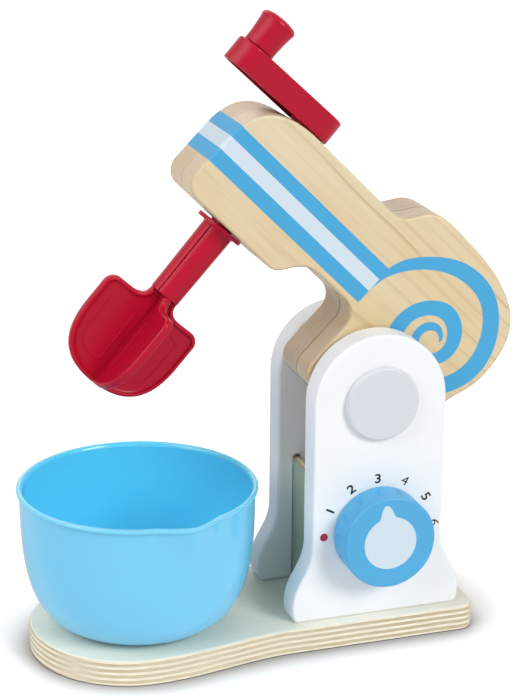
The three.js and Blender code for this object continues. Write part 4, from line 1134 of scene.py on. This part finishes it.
def smooth(places, values, wanted):
    """Cubic through given values: between two, it leaves and arrives at their mean slopes.

    With t the share of the way, it is the first value times (1+2t)(1-t)^2, plus the second times
    t^2(3-2t), plus the run times t(1-t) times the first slope by 1-t less the second by t.
    """
    places, values = np.array(places, float), np.array(values, float)
    slope = np.gradient(values, places)
    i = np.clip(np.searchsorted(places, wanted) - 1, 0, len(places) - 2)
    run = places[i + 1] - places[i]
    t = (wanted - places[i]) / run
    return (
        values[i] * (1 + 2 * t) * (1 - t) ** 2
        + values[i + 1] * t * t * (3 - 2 * t)
        + run * t * (1 - t) * (slope[i] * (1 - t) - slope[i + 1] * t)
    )


def spiral(face_y, outwards):
    """Closed film: rows along the angle, each a thin rectangle from the inner to the outer edge."""
    angle = np.linspace(spiral_angles[0], spiral_angles[-1], spiral_stations)
    reach = [smooth(spiral_angles, edge, angle) * mm for edge in (spiral_inner, spiral_outer)]
    turn = np.radians(angle)
    edges = [np.stack([spiral_centre[0] - radius * np.cos(turn),
                       spiral_centre[1] + radius * np.sin(turn)], axis=1) for radius in reach]
    proud = face_y + outwards * (film_proud - under_stripe)
    sunk = face_y - outwards * film_sunk
    corners = [(edges[0], sunk), (edges[1], sunk), (edges[1], proud), (edges[0], proud)]
    grid = np.stack([np.column_stack([edge, np.full(len(edge), y)]) for edge, y in corners], axis=1)
    return surface("spiral", placed(grid, head_place @ standing(0)))


dress("dial_side_spiral", spiral(front_face, -1), "head", blue_ink)
dress("far_side_spiral", spiral(back_face, 1), "head", blue_ink)

# %% [markdown]
# ## The dial
# The dial is turned from wood and grooved for small fingers: fourteen short scoops round the back
# half of its side. Its recess at the back hides the click wheel. The scoops could be cut by fourteen
# booleans, which leave thin faces beside each cut. Here the radius of a turned grid dips at each
# scoop, with its columns drawn together there, so the side stays one clean surface.

# %% Dial
dial_low, dial_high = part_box("dial")
dial_radius = (dial_high.z - dial_low.z) / 2
dial_depth = dial_high.y - dial_low.y
dial_height = (dial_high.z + dial_low.z) / 2
dial_ease = 1.1 * mm
dial_recess_radius, dial_recess_depth, dial_hub_radius = 17 * mm, 6 * mm, 6 * mm
scoop_count, scoop_depth, scoop_half_width = 14, 0.8 * mm, 1.15 * mm
scoop_span, scoop_turn, scoop_ramp = (0.2, 0.66), 20.6, 2 * mm
dial_back_ease = 0.3 * mm
screw_hole_radius, screw_hole_depth = dial_hub_radius * 0.4, dial_recess_depth * 0.5

# Columns of the grid lie closer together at the middle of each scoop: mostly a cubic of the share
spread = np.linspace(-1, 1, 33)[:-1]
scoop_pitch = 360 / scoop_count
steps_in_scoop = (0.8 * spread ** 3 + 0.2 * spread) * scoop_pitch / 2
dial_angles = np.radians(
    (np.arange(scoop_count)[:, None] * scoop_pitch + steps_in_scoop).ravel() + scoop_turn)
side_heights = np.linspace(dial_back_ease, dial_depth - dial_ease, 40)
dial_profile = np.array([
    (0, screw_hole_depth), (screw_hole_radius, screw_hole_depth),
    (screw_hole_radius, 0), (dial_hub_radius, 0), (dial_hub_radius, dial_recess_depth),
    (dial_recess_radius, dial_recess_depth), (dial_recess_radius, 0),
    (dial_radius - dial_back_ease, 0), *[(dial_radius, height) for height in side_heights],
    *arc((dial_radius - dial_ease, dial_depth - dial_ease), dial_ease, 0, 90, 8)[1:],
    (0, dial_depth),
])


def dial_grid():
    """Profile turned about Z, less scoops.

    A scoop is its depth times a parabola of the angle, 1 less the square of the share of its half
    width, times a smooth rise and fall along the side.
    """
    radius, height = dial_profile[:, :1], dial_profile[:, 1:]
    nearest = (np.degrees(dial_angles) - scoop_turn + scoop_pitch / 2) % scoop_pitch
    sideways = np.radians(nearest - scoop_pitch / 2) * dial_radius / scoop_half_width
    dip = np.clip(1 - sideways ** 2, 0, 1)
    start, end = (share * dial_depth for share in scoop_span)
    plateau = np.clip(np.minimum(height - start, end - height) / scoop_ramp, 0, 1)
    on_side = radius > dial_radius - 0.01 * mm
    radius = radius - scoop_depth * dip * plateau * plateau * (3 - 2 * plateau) * on_side
    return np.stack([
        radius * np.cos(dial_angles),
        radius * np.sin(dial_angles),
        np.broadcast_to(height, radius.shape),
    ], axis=-1)


on_dial_face = Matrix.Translation((0, dial_high.y, dial_height)) @ Matrix.Rotation(math.pi / 2, 4, "X")
dress("turned_dial", surface("dial", placed(dial_grid(), on_dial_face)), "dial_set", blue_lacquer,
      ["dial"])

# %% [markdown]
# ## The print on the dial
# The dial's face carries a pale printed disc with a pointer that grows out of it in one smooth line.
# A disc and a triangle could be joined, but their meeting would be a corner. One formula gives both:
# the disc's radius plus a bump that is a power of a raised cosine of the angle from the pointer.

# %% Dial print
print_radius, pointer_reach = 13.3 * mm, 19.6 * mm
pointer_angle, pointer_half_angle, pointer_power = 97, 21, 1.15
around = np.linspace(0, 360, 540, endpoint=False)
from_pointer = (around - pointer_angle + 180) % 360 - 180
share = np.clip(np.abs(from_pointer) / pointer_half_angle, 0, 1)
pointer_bump = (0.5 + 0.5 * np.cos(math.pi * share)) ** pointer_power
print_reach = print_radius + (pointer_reach - print_radius) * pointer_bump
print_loop = np.stack([print_reach * np.cos(np.radians(around)),
                       print_reach * np.sin(np.radians(around))], axis=1)
print_grid = ringed(print_loop, [(0, dial_depth - film_sunk), (0, dial_depth + film_proud)])
dress("dial_pointer_print", surface("dial_print", placed(print_grid, on_dial_face)), "dial_set",
      dial_ink)

# %% [markdown]
# ## The numbers
# The numbers 1 to 6 are printed round the dial, each turned to face outwards, with a red dot for off.
# Strokes could be drawn for each one, but a font has them already, and a text object stays editable.
# They are set in Blender's own plain font, made a little bolder, turned into meshes, and laid on the
# upright as a thin film of ink.

# %% Numbers and the dot
number_size, number_width_share = 6.5 * mm, 1.16
number_weights = [0.13 * mm] * 3 + [0] + [0.13 * mm] + [0]  # an offset would fill the 4 and the 6
number_reach = [reach * mm for reach in (28.3, 27.5, 27.2, 27.9, 28.8, 29.8)]
first_angle, angle_step = 152, 30.2  # degrees round the dial from its right-hand side
number_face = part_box("dial_side_upright")[0].y


def on_upright(x, z, turn_degrees):
    """Place on the upright's face: text's X and Y go along X and Z, turned in that plane."""
    plane = Matrix(((1, 0, 0, x), (0, 0, -1, number_face), (0, 1, 0, z), (0, 0, 0, 1)))
    return plane @ Matrix.Rotation(math.radians(turn_degrees), 4, "Z")


def digit(text, weight):
    """A digit as a thin closed mesh, centred on its own middle."""
    curve = bpy.data.curves.new("digit", "FONT")
    curve.body = text
    curve.size = number_size
    curve.offset = weight
    curve.extrude = film_proud
    curve.resolution_u = 6
    letter = bpy.data.objects.new("digit", curve)
    bpy.context.scene.collection.objects.link(letter)
    graph = bpy.context.evaluated_depsgraph_get()
    mesh = bpy.data.meshes.new_from_object(letter.evaluated_get(graph))
    bpy.data.objects.remove(letter)
    points = np.array([vertex.co for vertex in mesh.vertices])
    middle = (points.min(axis=0) + points.max(axis=0)) / 2
    mesh.transform(Matrix.Diagonal((number_width_share, 1, 1, 1)) @ Matrix.Translation(Vector(-middle)))
    return mesh


for i, reach in enumerate(number_reach):
    angle = first_angle - angle_step * i
    x = reach * math.cos(math.radians(angle))
    z = dial_height + reach * math.sin(math.radians(angle))
    number = digit(str(i + 1), number_weights[i])
    number.transform(on_upright(x, z, angle - 90))
    dress(f"printed_number_{i + 1}", number, "stand", black_ink)

dot_radius, dot_reach = 2 * mm, 28 * mm
dot = turned([(0, -film_sunk), (dot_radius, -film_sunk), (dot_radius, film_proud), (0, film_proud)], 64)
dot_mesh = surface("dot", placed(dot, on_upright(-dot_reach, dial_height, 0)))
dress("printed_red_dot", dot_mesh, "stand", red_ink)

# %% [markdown]
# ## The bowl
# The bowl is moulded in one piece: a nearly upright wall that turns in to a small flat foot, a round
# bead for a rim, and a lip pushed out on one side for pouring. It could be spun from a profile with
# a Solidify modifier for its wall, but the bead and the eased mouth need points of their own. So the
# whole section, inside and outside, is one profile, and the spout is a push of the turned grid.

# %% Bowl
bowl_low, bowl_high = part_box("bowl")
bowl_reach = 111.5 * mm
bowl_height = bowl_high.z - bowl_low.z
rim_radius, wall_radius, foot_radius = 58 * mm, 56.6 * mm, 26 * mm
bowl_wall, bead = 1.8 * mm, 2.6 * mm
foot_hollow, bowl_shares = 0.6 * mm, (0.94, 0.52)
spout_angle, spout_spread, spout_tip = -80, 14.5, 0.12
spout_push, spout_depth = 4.8 * mm, 22 * mm

bead_foot = bowl_height - bead
outside = swing((foot_radius, 0), (wall_radius, bead_foot), 0, 1, bowl_shares, 64)
inside = swing((foot_radius, bowl_wall), (wall_radius - bowl_wall, bead_foot), 0, 1, bowl_shares, 64)
bead_round = arc((rim_radius - bead / 2, bead_foot + bead / 2), bead / 2, -75, 90, 14)
lip_width = 1.8 * mm  # the mouth is eased inwards, where the far side catches the lights
lip = arc((0, 0), 1, 90, 180, 12) * (lip_width, bead)
lip = lip + (wall_radius - bowl_wall + lip_width, bead_foot)
bowl_profile = np.concatenate([
    [(0, foot_hollow), (foot_radius - 4 * mm, foot_hollow), (foot_radius - 3.4 * mm, 0)],
    outside, bead_round, lip, inside[::-1], [(0, bowl_wall)],
])


def bowl_grid(sides=288):
    """Profile turned about Z, pushed out round the spout.

    The push falls off as a hyperbola in the angle, 1 + tip - hypot(angle / spread, tip), and rises
    with height along a smooth step.
    """
    grid = turned(bowl_profile, sides)
    radius = np.hypot(grid[..., 0], grid[..., 1])
    angle = np.degrees(np.arctan2(grid[..., 1], grid[..., 0])) - spout_angle
    angle = (angle + 180) % 360 - 180
    sideways = np.clip(1 + spout_tip - np.hypot(angle / spout_spread, spout_tip), 0, None)
    rise = np.clip((grid[..., 2] - bowl_height + spout_depth) / spout_depth, 0, 1)
    push = spout_push * sideways * rise * rise * (3 - 2 * rise)
    scale = np.where(radius > foot_radius, 1 + push / np.maximum(radius, foot_radius), 1)
    return grid * np.stack([scale, scale, np.ones_like(scale)], axis=-1)


# Light blue moulded plastic, as polypropylene: waxy and glossy. Daylight comes through the thin
# wall and bounces inside, so the inside is painted a deeper, brighter blue than the outside: painted
# light.
bowl_plastic = moulded("blue_bowl_plastic", "#7bcdf5", 0.1, texture=0.35, relief=0.002,
                       painted_inside_light=("#64d3fb", (-bowl_reach, 0)), glow=0.6)
bowl_mesh = surface("bowl", placed(bowl_grid(), Matrix.Translation((-bowl_reach, 0, bowl_low.z))))
dress("mixing_bowl", bowl_mesh, "bowl_body", bowl_plastic, ["bowl"])

# %% [markdown]
# ## The shaft
# The red shaft is moulded with its stem, a flange that rests under the head and a sleeve with a slit
# along it. The slit could be cut by a boolean block, but it is only a shallow line. So the shaft is
# one turned profile, and its radius dips along one narrow strip, where the grid's columns are drawn
# together.

# %% Shaft
head_half = (head_top - head_underside) / 2 / math.cos(shaft_lean)
flange_radius, flange_thickness = 12.3 * mm, 1.9 * mm
sleeve_top_radius, sleeve_end_radius, sleeve_length = 8.2 * mm, 7.7 * mm, 39.6 * mm
sleeve_bore, sleeve_bore_depth = 5.6 * mm, 26 * mm
stem_radius, hub_boss_radius = 6 * mm, 7.4 * mm
slit_depth, slit_half_width, slit_angle = 0.9 * mm, 0.4 * mm, 219

flange_rest = -head_half - flange_radius * math.tan(shaft_lean)
flange_top = flange_rest - 0.1 * mm
sleeve_top = flange_rest - running_gap - flange_thickness
sleeve_end = sleeve_top - sleeve_length
beater_top = sleeve_end - running_gap / 10
crank_bottom = head_half + hub_boss_radius * math.tan(shaft_lean) + running_gap

sleeve_ease, sleeve_root, flange_corner, stem_in_crank = 0.3 * mm, 0.8 * mm, 0.5 * mm, 6 * mm
sleeve_heights = np.linspace(sleeve_end + sleeve_ease, sleeve_top - sleeve_root, 24)
sleeve_share = (sleeve_heights - sleeve_end) / sleeve_length
sleeve_radii = sleeve_end_radius + (sleeve_top_radius - sleeve_end_radius) * sleeve_share
shaft_profile = np.array([
    (0, sleeve_end + sleeve_bore_depth),
    (sleeve_bore, sleeve_end + sleeve_bore_depth),
    (sleeve_bore, sleeve_end + sleeve_ease),
    (sleeve_bore + sleeve_ease, sleeve_end),
    (sleeve_end_radius - sleeve_ease, sleeve_end),
    *zip(sleeve_radii, sleeve_heights),
    *arc((sleeve_top_radius + sleeve_root, sleeve_top - sleeve_root), sleeve_root, 180, 90, 6)[1:],
    *arc((flange_radius - flange_corner, sleeve_top + flange_corner), flange_corner, -90, 0, 6),
    *arc((flange_radius - flange_corner, flange_top - flange_corner), flange_corner, 0, 90, 6),
    (stem_radius, flange_top),
    (stem_radius, crank_bottom + stem_in_crank),
    (0, crank_bottom + stem_in_crank),
])


def shaft_grid():
    """Profile turned about Z, less a slit.

    The slit is its depth times the square root of a cosine, which falls to nothing a quarter turn
    away, and the angle is stretched so that this is the slit's half width.
    """
    spread = np.linspace(-1, 1, 145)[:-1]
    angles = math.radians(slit_angle) + math.pi * (0.9 * spread ** 5 + 0.1 * spread)
    radius, height = shaft_profile[:, :1], shaft_profile[:, 1:]
    sideways = (angles - math.radians(slit_angle)) * sleeve_end_radius / slit_half_width
    dip = slit_depth * np.cos(np.clip(sideways, -1, 1) * math.pi / 2) ** 0.5
    on_sleeve = (radius > sleeve_end_radius - 0.35 * mm) & (radius < sleeve_top_radius + 0.1 * mm)
    radius = radius - dip * on_sleeve
    return np.stack([
        radius * np.cos(angles),
        radius * np.sin(angles),
        np.broadcast_to(height, radius.shape),
    ], axis=-1)


dress("shaft_and_sleeve", surface("shaft", placed(shaft_grid(), shaft_place)), "crank", red_plastic,
      ["beater_shaft"])

# %% [markdown]
# ## The beater
# The beater is a cross of two moulded blades whose tongues run up the sleeve. Each blade is a thin
# web with a thicker rounded rim all the way round, and a fine raised line on the web. It could be a
# flat plate with a bent tube laid round it, but then plate and tube would meet in a crease, where
# the real one has a soft cove. So the blade's edge is drawn once in section and carried round the
# outline, which gives web, cove and rim as one surface.

# %% Blades
blade_half, blade_shoulder, blade_corner, blade_height = 28.3 * mm, 6 * mm, 5.5 * mm, 52.6 * mm
hub_half, hub_run, hub_shares = 7.6 * mm, 7.4 * mm, (0.8, 0.5)
round_height, round_shares = 29 * mm, (0.72, 0.64)
web_half, rim_half, rim_width = 0.7 * mm, 2.1 * mm, 2.0 * mm
rim_outer_round, rim_inner_round = 1.2 * mm, 0.5 * mm
cove_width, cove_height = 2.4 * mm, 0.9 * mm
tongue_half, tongue_thickness, tongue_length = 5.05 * mm, 3 * mm, 24 * mm
tongue_root, tongue_ease = -4 * mm, 0.3 * mm
line_half_width, line_height = 0.35 * mm, 0.28 * mm

hub_end = hub_half + hub_run
round_start = blade_height - round_height
right_side = np.concatenate([
    swing((0, -blade_height), (blade_half, -round_start), 0, 1, round_shares[::-1], 40),
    arc((blade_half - blade_corner, -blade_shoulder - blade_corner), blade_corner, 0, 90, 14),
    swing((hub_end, -blade_shoulder), (hub_half, 0), 0, 1, hub_shares[::-1], 20),
])
blade_loop = outline(right_side, right_side[::-1] * (-1, 1))

# Edge of a blade in section: a wide shallow cove from the web's face up to the rim, and over it
cove = arc((0, 0), 1, 270, 180, 9) * (cove_width, cove_height)
upper = np.concatenate([
    cove + (rim_width + cove_width, web_half + cove_height),
    arc((rim_width - rim_inner_round, rim_half - rim_inner_round), rim_inner_round, 0, 90, 5),
    arc((rim_outer_round, rim_half - rim_outer_round), rim_outer_round, 90, 180, 8),
])
blade_section = np.concatenate([upper, upper[::-1] * (1, -1)])


def blade_plane(turn_degrees):
    """Place of a drawing in the plane through the shaft's axis, turned about that axis."""
    turn = Matrix.Rotation(math.radians(turn_degrees), 4, "Z")
    return shaft_place @ Matrix.Translation((0, 0, beater_top)) @ turn @ standing(0)


def blade_mesh(turn_degrees):
    """Blade: its section carried round its outline."""
    return surface("blade", placed(ringed(blade_loop, blade_section), blade_plane(turn_degrees)))


def raised_line(turn_degrees, side, face):
    """Fine raised line on a web: a small oval bead, half sunk, carried round a rounded rectangle."""
    left, right_edge, top, bottom = 5.6 * mm, 20.6 * mm, -13.5 * mm, -43 * mm
    corner, outer_corner = 3 * mm, 11 * mm
    loop = outline(
        arc((left + corner, bottom + corner), corner, 180, 270, 8),
        arc((right_edge - outer_corner, bottom + outer_corner), outer_corner, 270, 360, 16),
        arc((right_edge - corner, top - corner), corner, 0, 90, 8),
        arc((left + corner, top - corner), corner, 90, 180, 8),
    )
    section = [(line_half_width * math.cos(a), face * web_half + line_height * math.sin(a))
               for a in np.linspace(0, 2 * math.pi, 8, endpoint=False)]
    grid = placed(ringed(loop * (side, 1), section), blade_plane(turn_degrees))
    return surface("line", grid, closed=True)


def tongue(turn_degrees):
    """Flat tongue that runs up the sleeve's bore: a rectangle with eased edges."""
    loop = outline([(-tongue_half, tongue_root), (tongue_half, tongue_root),
                    (tongue_half, tongue_length), (-tongue_half, tongue_length)])
    grid = ringed(loop, eased(tongue_thickness, tongue_ease, tongue_ease, 3))
    grid = grid - (0, 0, tongue_thickness / 2)
    return surface("tongue", placed(grid, blade_plane(turn_degrees)))


beater_parts = []
for turn_degrees in (0, 90):
    beater_parts += [blade_mesh(turn_degrees), tongue(turn_degrees)]
    beater_parts += [raised_line(turn_degrees, side, face) for side in (-1, 1) for face in (-1, 1)]
dress("cross_beater", merged("beater", beater_parts), "crank", red_plastic, ["beater_blades"])

# %% [markdown]
# ## The crank
# The crank arm is a red moulded shell, open below, whose outline wraps a large circle round the
# shaft and a small one round the knob. Inside it has a boss at each end and thin ribs, which stiffen
# a moulded part. A solid bar would look the same from above, but from below, as the head tips, the
# hollow shows. The shell is its wall's section carried round the outline, the bosses and ribs are
# simple shapes that reach a little into its roof, and the screw's seat is carved into its top.

# %% Crank arm
crank_turn, crank_length = math.radians(193.5), 47.1 * mm
hub_radius, end_radius, crank_height, crank_ease = 13.5 * mm, 10 * mm, 12.2 * mm, 1.0 * mm
crank_wall, crank_roof = 2 * mm, 2.6 * mm
crank_place = shaft_place @ Matrix.Translation((0, 0, crank_bottom))
crank_place = crank_place @ Matrix.Rotation(crank_turn, 4, "Z")
# A straight side touches both circles where the cosine is the radii's difference over the length
touch = math.degrees(math.acos((hub_radius - end_radius) / crank_length))
arm_loop = outline(
    arc((0, 0), hub_radius, touch, 360 - touch, 72),
    arc((crank_length, 0), end_radius, -touch, touch, 48),
)
soft = 0.3 * mm
arm_section = [
    (crank_wall, crank_height - crank_roof), (crank_wall, soft), (crank_wall - soft, 0), (soft, 0),
    (0, soft), *[(crank_ease * (1 - math.cos(a)), crank_height - crank_ease * (1 - math.sin(a)))
                 for a in np.linspace(0, math.pi / 2, 8)],
]
screw_seat_radius, screw_seat_depth = 3.9 * mm, 2.1 * mm
seat_floor, over_roof = crank_height - screw_seat_depth, crank_height + 1 * mm
seat = turned([(0, seat_floor), (screw_seat_radius, seat_floor),
               (screw_seat_radius, over_roof), (0, over_roof)], 48)
arm_parts = [carved(surface("arm", placed(ringed(arm_loop, arm_section), crank_place)),
                    surface("seat", placed(seat, crank_place)))]


pin_boss_radius, pin_boss_length = 6.8 * mm, 5.4 * mm
rib_depth, rib_half, into_roof = 7 * mm, 0.8 * mm, 0.4 * mm
under_roof = crank_height - crank_roof


def boss(x, radius, low_end):
    """Round post from the arm's roof down to a given height."""
    high_end = under_roof + into_roof
    post = turned([(0, low_end), (radius - soft, low_end), (radius, low_end + soft),
                   (radius, high_end), (0, high_end)], 64)
    return surface("boss", placed(post, crank_place @ Matrix.Translation((x, 0, 0))))


def rib(x_from, x_to, half_width):
    """Thin rib under the roof: a rectangle between two heights."""
    loop = outline([(x_from, -half_width), (x_to, -half_width),
                    (x_to, half_width), (x_from, half_width)])
    grid = ringed(loop, [(0, under_roof - rib_depth), (0, under_roof + into_roof)])
    return surface("rib", placed(grid, crank_place))


arm_parts += [boss(0, hub_boss_radius, 0),
              boss(crank_length, pin_boss_radius, under_roof - pin_boss_length),
              rib(0, crank_length, rib_half)]
for share_along in (0.36, 0.6):
    half_width = hub_radius - (hub_radius - end_radius) * share_along - crank_wall / 2
    middle_x = crank_length * share_along
    arm_parts.append(rib(middle_x - rib_half, middle_x + rib_half, half_width))
arm_mesh = merged("crank", arm_parts)
dress("crank_shell", arm_mesh, "crank", red_plastic, ["crank_arm"])

# %% [markdown]
# ## The knob
# The knob is what a small hand turns: a plain post, a little wider at its top, with a soft rim and a
# slightly domed end. A cylinder with a bevel would be straight. Here its radius grows with the
# square of the height, and the rim is an arc, all in one profile turned as on a lathe.

# %% Knob
knob_height, knob_base, knob_top = 17.4 * mm, 7.9 * mm, 9.1 * mm
knob_ease, knob_dome = 2.6 * mm, 1 * mm
rim_centre = knob_height - knob_ease
flare_share = np.linspace(0, 0.9, 16)
knob_profile = np.concatenate([
    [(0, 0), (knob_base - 0.3 * mm, 0), (knob_base, 0.3 * mm)],
    np.stack([knob_base + (knob_top - knob_base) * flare_share[1:] ** 2,
              rim_centre * flare_share[1:]], axis=1),
    arc((knob_top - knob_ease, rim_centre - knob_dome), knob_ease, 0, 80, 16),
    [(knob_top - knob_ease * 1.6, knob_height - knob_dome * 0.55), (0, knob_height)],
])
knob_place = crank_place @ Matrix.Translation((crank_length, 0, crank_height + running_gap))
dress("crank_grip", surface("knob", placed(turned(knob_profile, 128), knob_place)), "knob",
      red_plastic, ["crank_knob"])

# %% [markdown]
# ## Small parts that stay as they were packed
# Screws, washers, the bolt, the click parts and the two panels have the right shape already. They
# could be drawn again with threads and finer edges, but almost all of them are out of sight. They
# only need their finish.

# %% Small parts
steel_names = ["pivot_bolt", "pivot_nut", "dial_side_bolt_washer", "far_side_bolt_washer",
               *(f"base_screw_{number}" for number in (1, 2, 3, 4)),
               "dial_washer", "dial_screw", "crank_screw"]
finishes = {name: zinc for name in steel_names}
finishes |= {"click_spring": nylon, "click_wheel": nylon, "knob_pin": red_plastic}
finishes |= {"dial_side_friction_washer": fibre, "far_side_friction_washer": fibre}
finishes |= panel_plies
for name, material in finishes.items():
    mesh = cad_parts[name].data
    mesh.materials.clear()
    mesh.materials.append(material)
print(len(finishes), "packed nodes given their finish")

# %% [markdown]
# ## The studio
# The object stands on a white sweep in a pale room. The white of the picture could come from more
# light, but then the white boards would lose their shading. So the room lights the object as a
# plain grey, and only rays from the camera, or seen through or in something shiny, find it white.
# The floor does the same: it is matt white paper to the object, and to the camera it glows a little
# as well. To the camera both its white and its glow are darkened where the object stands in the way
# of the room: a painted contact shadow, added to the lamps' own shadows.

# %% Floor and background
floor_half = 3.0
paper_white, paper_glow, room_grey = 0.92, 0.42, 0.22
# How far and how strongly the painted contact shadow darkens the floor
painted_shadow_reach, painted_shadow_power = 25 * mm, 1.8
floor_mesh = bpy.data.meshes.new("floor")
floor_mesh.from_pydata([(-floor_half, -floor_half, 0), (floor_half, -floor_half, 0),
                        (floor_half, floor_half, 0), (-floor_half, floor_half, 0)], [], [(0, 1, 2, 3)])
floor = bpy.data.objects.new("floor", floor_mesh)
bpy.context.scene.collection.objects.link(floor)

# Matt white paper: pale and without gloss, so that the object is not mirrored in it
floor_material, tree = blank("matt_white_sweep")
paper = add(tree, "ShaderNodeBsdfDiffuse", inputs={"Color": grey(paper_white)})
# Painted contact shadow: close to the object the paper sees less of the room, and to the camera its
# white and its glow are darkened by that share, to a power
open_room = add(tree, "ShaderNodeAmbientOcclusion", {"samples": 16}, {"Distance": painted_shadow_reach})
painted_contact_shadow = add(tree, "ShaderNodeMath", {"operation": "POWER"},
                 {0: open_room.outputs["AO"], 1: painted_shadow_power})
darkened_by_painted_shadow = [add(tree, "ShaderNodeMix", multiply, {0: 1.0, 6: grey(white), 7: painted_contact_shadow.outputs[0]})
           for white in (paper_white, paper_glow)]
shaded = add(tree, "ShaderNodeBsdfDiffuse", inputs={"Color": darkened_by_painted_shadow[0].outputs[2]})
glow = add(tree, "ShaderNodeEmission", inputs={"Color": darkened_by_painted_shadow[1].outputs[2], "Strength": 1.0})
seen = add(tree, "ShaderNodeAddShader", inputs={0: shaded.outputs[0], 1: glow.outputs[0]})
ray = add(tree, "ShaderNodeLightPath")
either = add(tree, "ShaderNodeMixShader", inputs={
    0: ray.outputs["Is Camera Ray"], 1: paper.outputs[0], 2: seen.outputs[0]})
add(tree, "ShaderNodeOutputMaterial", inputs={"Surface": either.outputs[0]})
floor_mesh.materials.append(floor_material)

world = bpy.data.worlds.new("pale_room")
world.use_nodes = True
tree = world.node_tree
tree.nodes.clear()
ray = add(tree, "ShaderNodeLightPath")
seen = add(tree, "ShaderNodeMath", {"operation": "MAXIMUM"},
           {0: ray.outputs["Is Camera Ray"], 1: ray.outputs["Is Transmission Ray"]})
seen_white = add(tree, "ShaderNodeMath", plus, {0: ray.outputs["Is Glossy Ray"], 1: seen.outputs[0]})
room = add(tree, "ShaderNodeBackground", inputs={0: grey(1.0), 1: room_grey})
white = add(tree, "ShaderNodeBackground", inputs={0: grey(1.0), 1: 1.0})
mixed = add(tree, "ShaderNodeMixShader", inputs={
    0: seen_white.outputs[0], 1: room.outputs[0], 2: white.outputs[0]})
add(tree, "ShaderNodeOutputWorld", inputs={0: mixed.outputs[0]})
bpy.context.scene.world = world
print("floor", 2 * floor_half, "m wide, room of strength", room_grey)

# %% [markdown]
# ## Soft light
# A photographer would hang large soft boxes round the table. An area lamp for each would do, but its
# strength falls off with distance, so it lights one side of the object more than the other. These
# lamps are suns with a very wide disc instead: their light comes from a direction, as even as
# daylight, and the wide disc gives the shadows soft edges. The key from the right and the front
# makes the form, one from the left fills it, and two weak ones open the top and the back.

# %% Lamps
def soft_light(name, toward, strength, spread_degrees):
    """Wide, soft light from far off, in the direction toward it.

    A strength of pi lights a white surface that faces it as white.
    """
    light = bpy.data.lights.new(name, "SUN")
    light.energy = strength
    light.angle = math.radians(spread_degrees)
    lamp = bpy.data.objects.new(name, light)
    bpy.context.scene.collection.objects.link(lamp)
    lamp.rotation_mode = "QUATERNION"
    lamp.rotation_quaternion = Vector(toward).to_track_quat("Z", "Y")
    print(f"{name}: {strength / math.pi:.2f} of full white, {spread_degrees} degrees wide")


soft_light("key", (0.45, -0.75, 0.50), 0.56 * math.pi, 26)
soft_light("fill", (-0.8, -0.32, 0.6), 0.36 * math.pi, 40)
soft_light("over_left", (-0.6, 0.1, 0.8), 0.22 * math.pi, 45)
soft_light("back", (0.1, 0.8, 0.6), 0.12 * math.pi, 40)

scene = bpy.context.scene
scene.view_settings.view_transform = "Standard"
